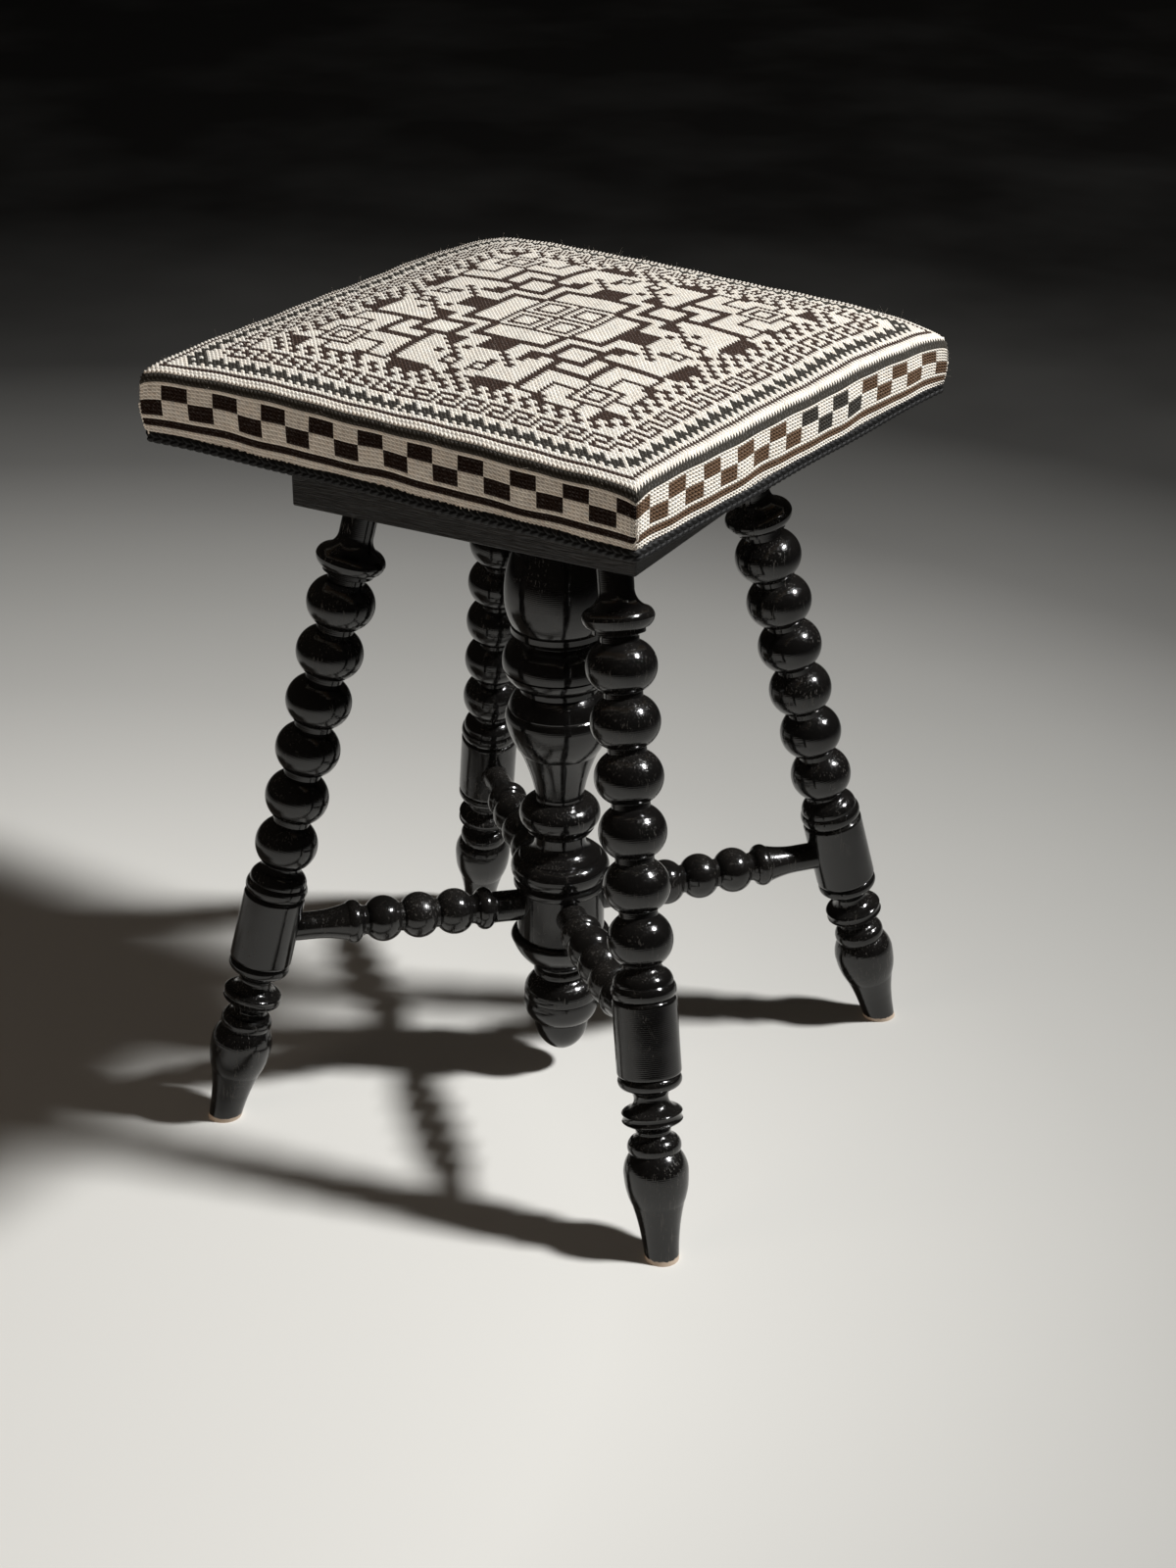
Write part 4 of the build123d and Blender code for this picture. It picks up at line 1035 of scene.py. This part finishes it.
def wool_fuzz(cover, hairs=3200, steps=5, sides=3, shortest=0.0008, longest=0.0030, bend=0.6, most_bend=1.2,
              sunk=0.0003, thick=0.00006, taper=0.6):
    """Loose fibres of the wool: three-sided tubes that start at points of the cover, bend and taper.

    Each runs out along the cover's normal and goes aside by the square of the share of its length.
    """
    rng = np.random.default_rng(FUZZ_SEED)
    rings = 2 * (len(WALL_ROWS) - BRAIDED_ROWS)
    outside = TOP_NODES + 4 * NODES * rings
    points, normals = np.empty(3 * len(cover.data.vertices)), np.empty(3 * len(cover.data.vertices))
    cover.data.vertices.foreach_get("co", points)
    cover.data.vertices.foreach_get("normal", normals)
    chosen = rng.choice(outside, hairs, replace=False)
    root, normal = points.reshape(-1, 3)[chosen, None, :], normals.reshape(-1, 3)[chosen, None, :]
    reach = rng.uniform(shortest, longest, (hairs, 1, 1))
    aside = np.clip(rng.normal(0.0, bend, (hairs, 1, 3)), -most_bend, most_bend) * reach
    share = np.linspace(0.0, 1.0, steps)[None, :, None]
    line = root + normal * (reach * share - sunk) + aside * share ** 2
    ahead = np.gradient(line, axis=1)
    ahead /= np.linalg.norm(ahead, axis=2, keepdims=True)
    first = np.cross(ahead, rng.normal(0.0, 1.0, (hairs, 1, 3)))
    first /= np.linalg.norm(first, axis=2, keepdims=True)
    second = np.cross(ahead, first)
    spin = (np.arange(sides) / sides * TURN)[:, None]
    around = np.cos(spin) * first[:, :, None] + np.sin(spin) * second[:, :, None]
    tubes = line[:, :, None] + thick * (1.0 - taper * share)[..., None] * around
    start = (np.arange(hairs) * sides * steps)[:, None, None]
    walls = (start + grid_faces(steps, sides, closed_columns=True)).reshape(-1, 4)
    tip = np.arange(sides)
    ends = (start + np.stack((tip[::-1], tip + (steps - 1) * sides))).reshape(-1, sides)
    faces = walls.tolist() + ends.tolist()
    return put_piece("wool_fuzz", tubes.reshape(-1, 3), faces, (wool_hair("wool_hair"),))


# Stage

def photo_camera():
    """The camera: set back from its target by its azimuth and elevation, then panned, tilted and rolled."""
    stage = bpy.context.scene.stool_stage
    flat, rise = math.cos(stage.elevation), math.sin(stage.elevation)
    back = Vector((math.sin(stage.azimuth) * flat, -math.cos(stage.azimuth) * flat, rise))
    eye = Vector(stage.target) + back * stage.distance
    ahead = -back
    right = ahead.cross(Vector((0.0, 0.0, 1.0))).normalized()
    up = right.cross(ahead)
    swing = Matrix.Rotation(stage.pan, 3, up)
    ahead, right = swing @ ahead, swing @ right
    swing = Matrix.Rotation(stage.tilt, 3, right)
    ahead, up = swing @ ahead, swing @ up
    swing = Matrix.Rotation(stage.roll, 3, ahead)
    right, up = swing @ right, swing @ up
    data = bpy.data.cameras.new("photo_camera")
    data.lens, data.sensor_width, data.clip_start = stage.lens, stage.sensor, stage.near
    camera = bpy.data.objects.new("photo_camera", data)
    turn = Matrix((right, up, -ahead)).transposed().to_4x4()
    camera.matrix_world = Matrix.Translation(eye) @ turn
    bpy.context.scene.collection.objects.link(camera)
    bpy.context.scene.camera = camera


def lamp(name, place, aim, size, power, tint=(1.0, 1.0, 1.0), mirrored=True):
    """A soft rectangular lamp at a place, aimed at a point, which polished surfaces mirror or don't."""
    data = bpy.data.lights.new(name, "AREA")
    data.shape, data.size, data.size_y, data.energy = "RECTANGLE", size[0], size[1], power
    data.color = tint
    made = bpy.data.objects.new(name, data)
    made.location = place
    made.visible_glossy = mirrored
    made.rotation_euler = (Vector(aim) - Vector(place)).to_track_quat("-Z", "Y").to_euler()
    bpy.context.scene.collection.objects.link(made)


def studio_world():
    """A plain, dim world."""
    world = bpy.data.worlds.new("studio")
    world.use_nodes = True
    background = world.node_tree.nodes["Background"]
    background.inputs["Color"].default_value = rgba(bpy.context.scene.stool_stage.world)
    bpy.context.scene.world = world


def floor_disc(radius=7.0, rings=24, spokes=64):
    """A flat disc for the floor: circles of points that widen with the square of their number."""
    grow = (np.arange(1, rings + 1) / rings)[:, None] ** 2 * radius
    spoke = np.arange(spokes)
    spin = (spoke / spokes * TURN)[None, :]
    points = np.stack((grow * np.cos(spin), grow * np.sin(spin), np.zeros((rings, spokes))), -1)
    points = np.concatenate((points.reshape(-1, 3), ((0.0, 0.0, 0.0),)))
    quads = grid_faces(rings, spokes, closed_columns=True)[:, ::-1]
    hub = np.stack((np.full(spokes, len(points) - 1), spoke, (spoke + 1) % spokes), -1)
    return put_piece("floor", points, quads.tolist() + hub.tolist(), (painted_light_pool_floor("floor_painted_light_pool"),))


# Operators

class STOOL_OT_turnings(bpy.types.Operator):
    """Polish the legs, the stretchers, the column and its finial black"""

    bl_idname = "stool.turnings"
    bl_label = "Ebonised turnings"

    def execute(self, context):
        up = Vector((0.0, 0.0, 1.0))
        dress(ebonised_turning("ebonised_column", up), "column", "drop_finial")
        for corner, azimuth in LEG_AZIMUTHS.items():
            out = Vector((math.cos(math.radians(azimuth)), math.sin(math.radians(azimuth)), 0.0))
            lean = out * -math.sin(LEG_SPLAY) + up * math.cos(LEG_SPLAY)
            leg, stretcher = corner + "_leg", corner + "_stretcher"
            dress(ebonised_turning("ebonised_" + leg, lean), leg)
            dress(ebonised_turning("ebonised_" + stretcher, out, dull=0.5), stretcher)
        return {"FINISHED"}


class STOOL_OT_boards(bpy.types.Operator):
    """Finish the base board black and leave the seat board and the dowel bare"""

    bl_idname = "stool.boards"
    bl_label = "Boards"

    def execute(self, context):
        dress(ebonised_board("ebonised_board"), "top_board")
        dress(bare_board("bare_board"), "seat_board", "finial_dowel")
        return {"FINISHED"}


class STOOL_OT_metalwork(bpy.types.Operator):
    """Finish the iron flange and nut, the steel spindle and screws, and the blued tacks"""

    bl_idname = "stool.metalwork"
    bl_label = "Metalwork"

    def execute(self, context):
        finish = context.scene.stool_finish
        iron = metal("japanned_iron", finish.iron, rough=0.42, metallic=0.2)
        steel = metal("oiled_steel", finish.steel, rough=0.28, metallic=1.0)
        blued = metal("blued_steel", finish.blued, rough=0.30, metallic=1.0)
        dress(iron, "seat_flange", "spindle_nut")
        dress(steel, "seat_spindle", "flange_screws", "nut_screws", "end_screw", "stop_washer")
        dress(blued, "cover_tacks")
        return {"FINISHED"}


class STOOL_OT_needlepoint(bpy.types.Operator):
    """Work the needlepoint cover over the stuffed seat, with the fuzz of its wool"""

    bl_idname = "stool.needlepoint"
    bl_label = "Needlepoint cover"

    def execute(self, context):
        cover = needlepoint_cover()
        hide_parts("seat_cover", "seat_stuffing")
        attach(cover, "seat")
        fuzz = wool_fuzz(cover)
        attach(fuzz, "seat")
        return {"FINISHED"}


class STOOL_OT_trim(bpy.types.Operator):
    """Sew the black braid round the seat's foot and the pale seams up its corners"""

    bl_idname = "stool.trim"
    bl_label = "Braid and seams"

    def execute(self, context):
        braid = braid_strip()
        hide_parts("gimp_braid")
        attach(braid, "seat")
        seams = corner_seams()
        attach(seams, "seat")
        return {"FINISHED"}


class STOOL_OT_stage(bpy.types.Operator):
    """Set up the floor, the lamps, the world and the camera"""

    bl_idname = "stool.stage"
    bl_label = "Stage"

    def execute(self, context):
        stage = context.scene.stool_stage
        floor_disc()
        lamp("key_lamp", stage.key_place, stage.key_aim, (stage.key_side, stage.key_side), stage.key_power)
        lamp("fill_lamp", stage.fill_place, stage.fill_aim, (stage.fill_width, stage.fill_height),
             stage.fill_power, stage.fill_tint, mirrored=False)
        photo_camera()
        studio_world()
        context.scene.view_settings.view_transform = "Standard"
        return {"FINISHED"}


class STOOL_PT_dress(bpy.types.Panel):
    """Lists the stool's operators and settings in the sidebar"""

    bl_label = "Piano stool"
    bl_idname = "STOOL_PT_dress"
    bl_space_type = "VIEW_3D"
    bl_region_type = "UI"
    bl_category = "Stool"

    def draw(self, context):
        for operator in OPERATORS:
            self.layout.operator(operator.bl_idname)
        for group, kind in SETTINGS.items():
            box = self.layout.box()
            for key in kind.__annotations__:
                box.prop(getattr(context.scene, group), key)


OPERATORS = (STOOL_OT_turnings, STOOL_OT_boards, STOOL_OT_metalwork, STOOL_OT_needlepoint, STOOL_OT_trim,
             STOOL_OT_stage)


def register():
    for group, kind in SETTINGS.items():
        bpy.utils.register_class(kind)
        setattr(bpy.types.Scene, group, bpy.props.PointerProperty(type=kind))
    for kind in (*OPERATORS, STOOL_PT_dress):
        bpy.utils.register_class(kind)


def unregister():
    for kind in (STOOL_PT_dress, *reversed(OPERATORS)):
        bpy.utils.unregister_class(kind)
    for group, kind in SETTINGS.items():
        delattr(bpy.types.Scene, group)
        bpy.utils.unregister_class(kind)


def main():
    register()
    bpy.ops.stool.turnings()
    bpy.ops.stool.boards()
    bpy.ops.stool.metalwork()
    bpy.ops.stool.needlepoint()
    bpy.ops.stool.trim()
    bpy.ops.stool.stage()


if __name__ == "__main__":
    main()
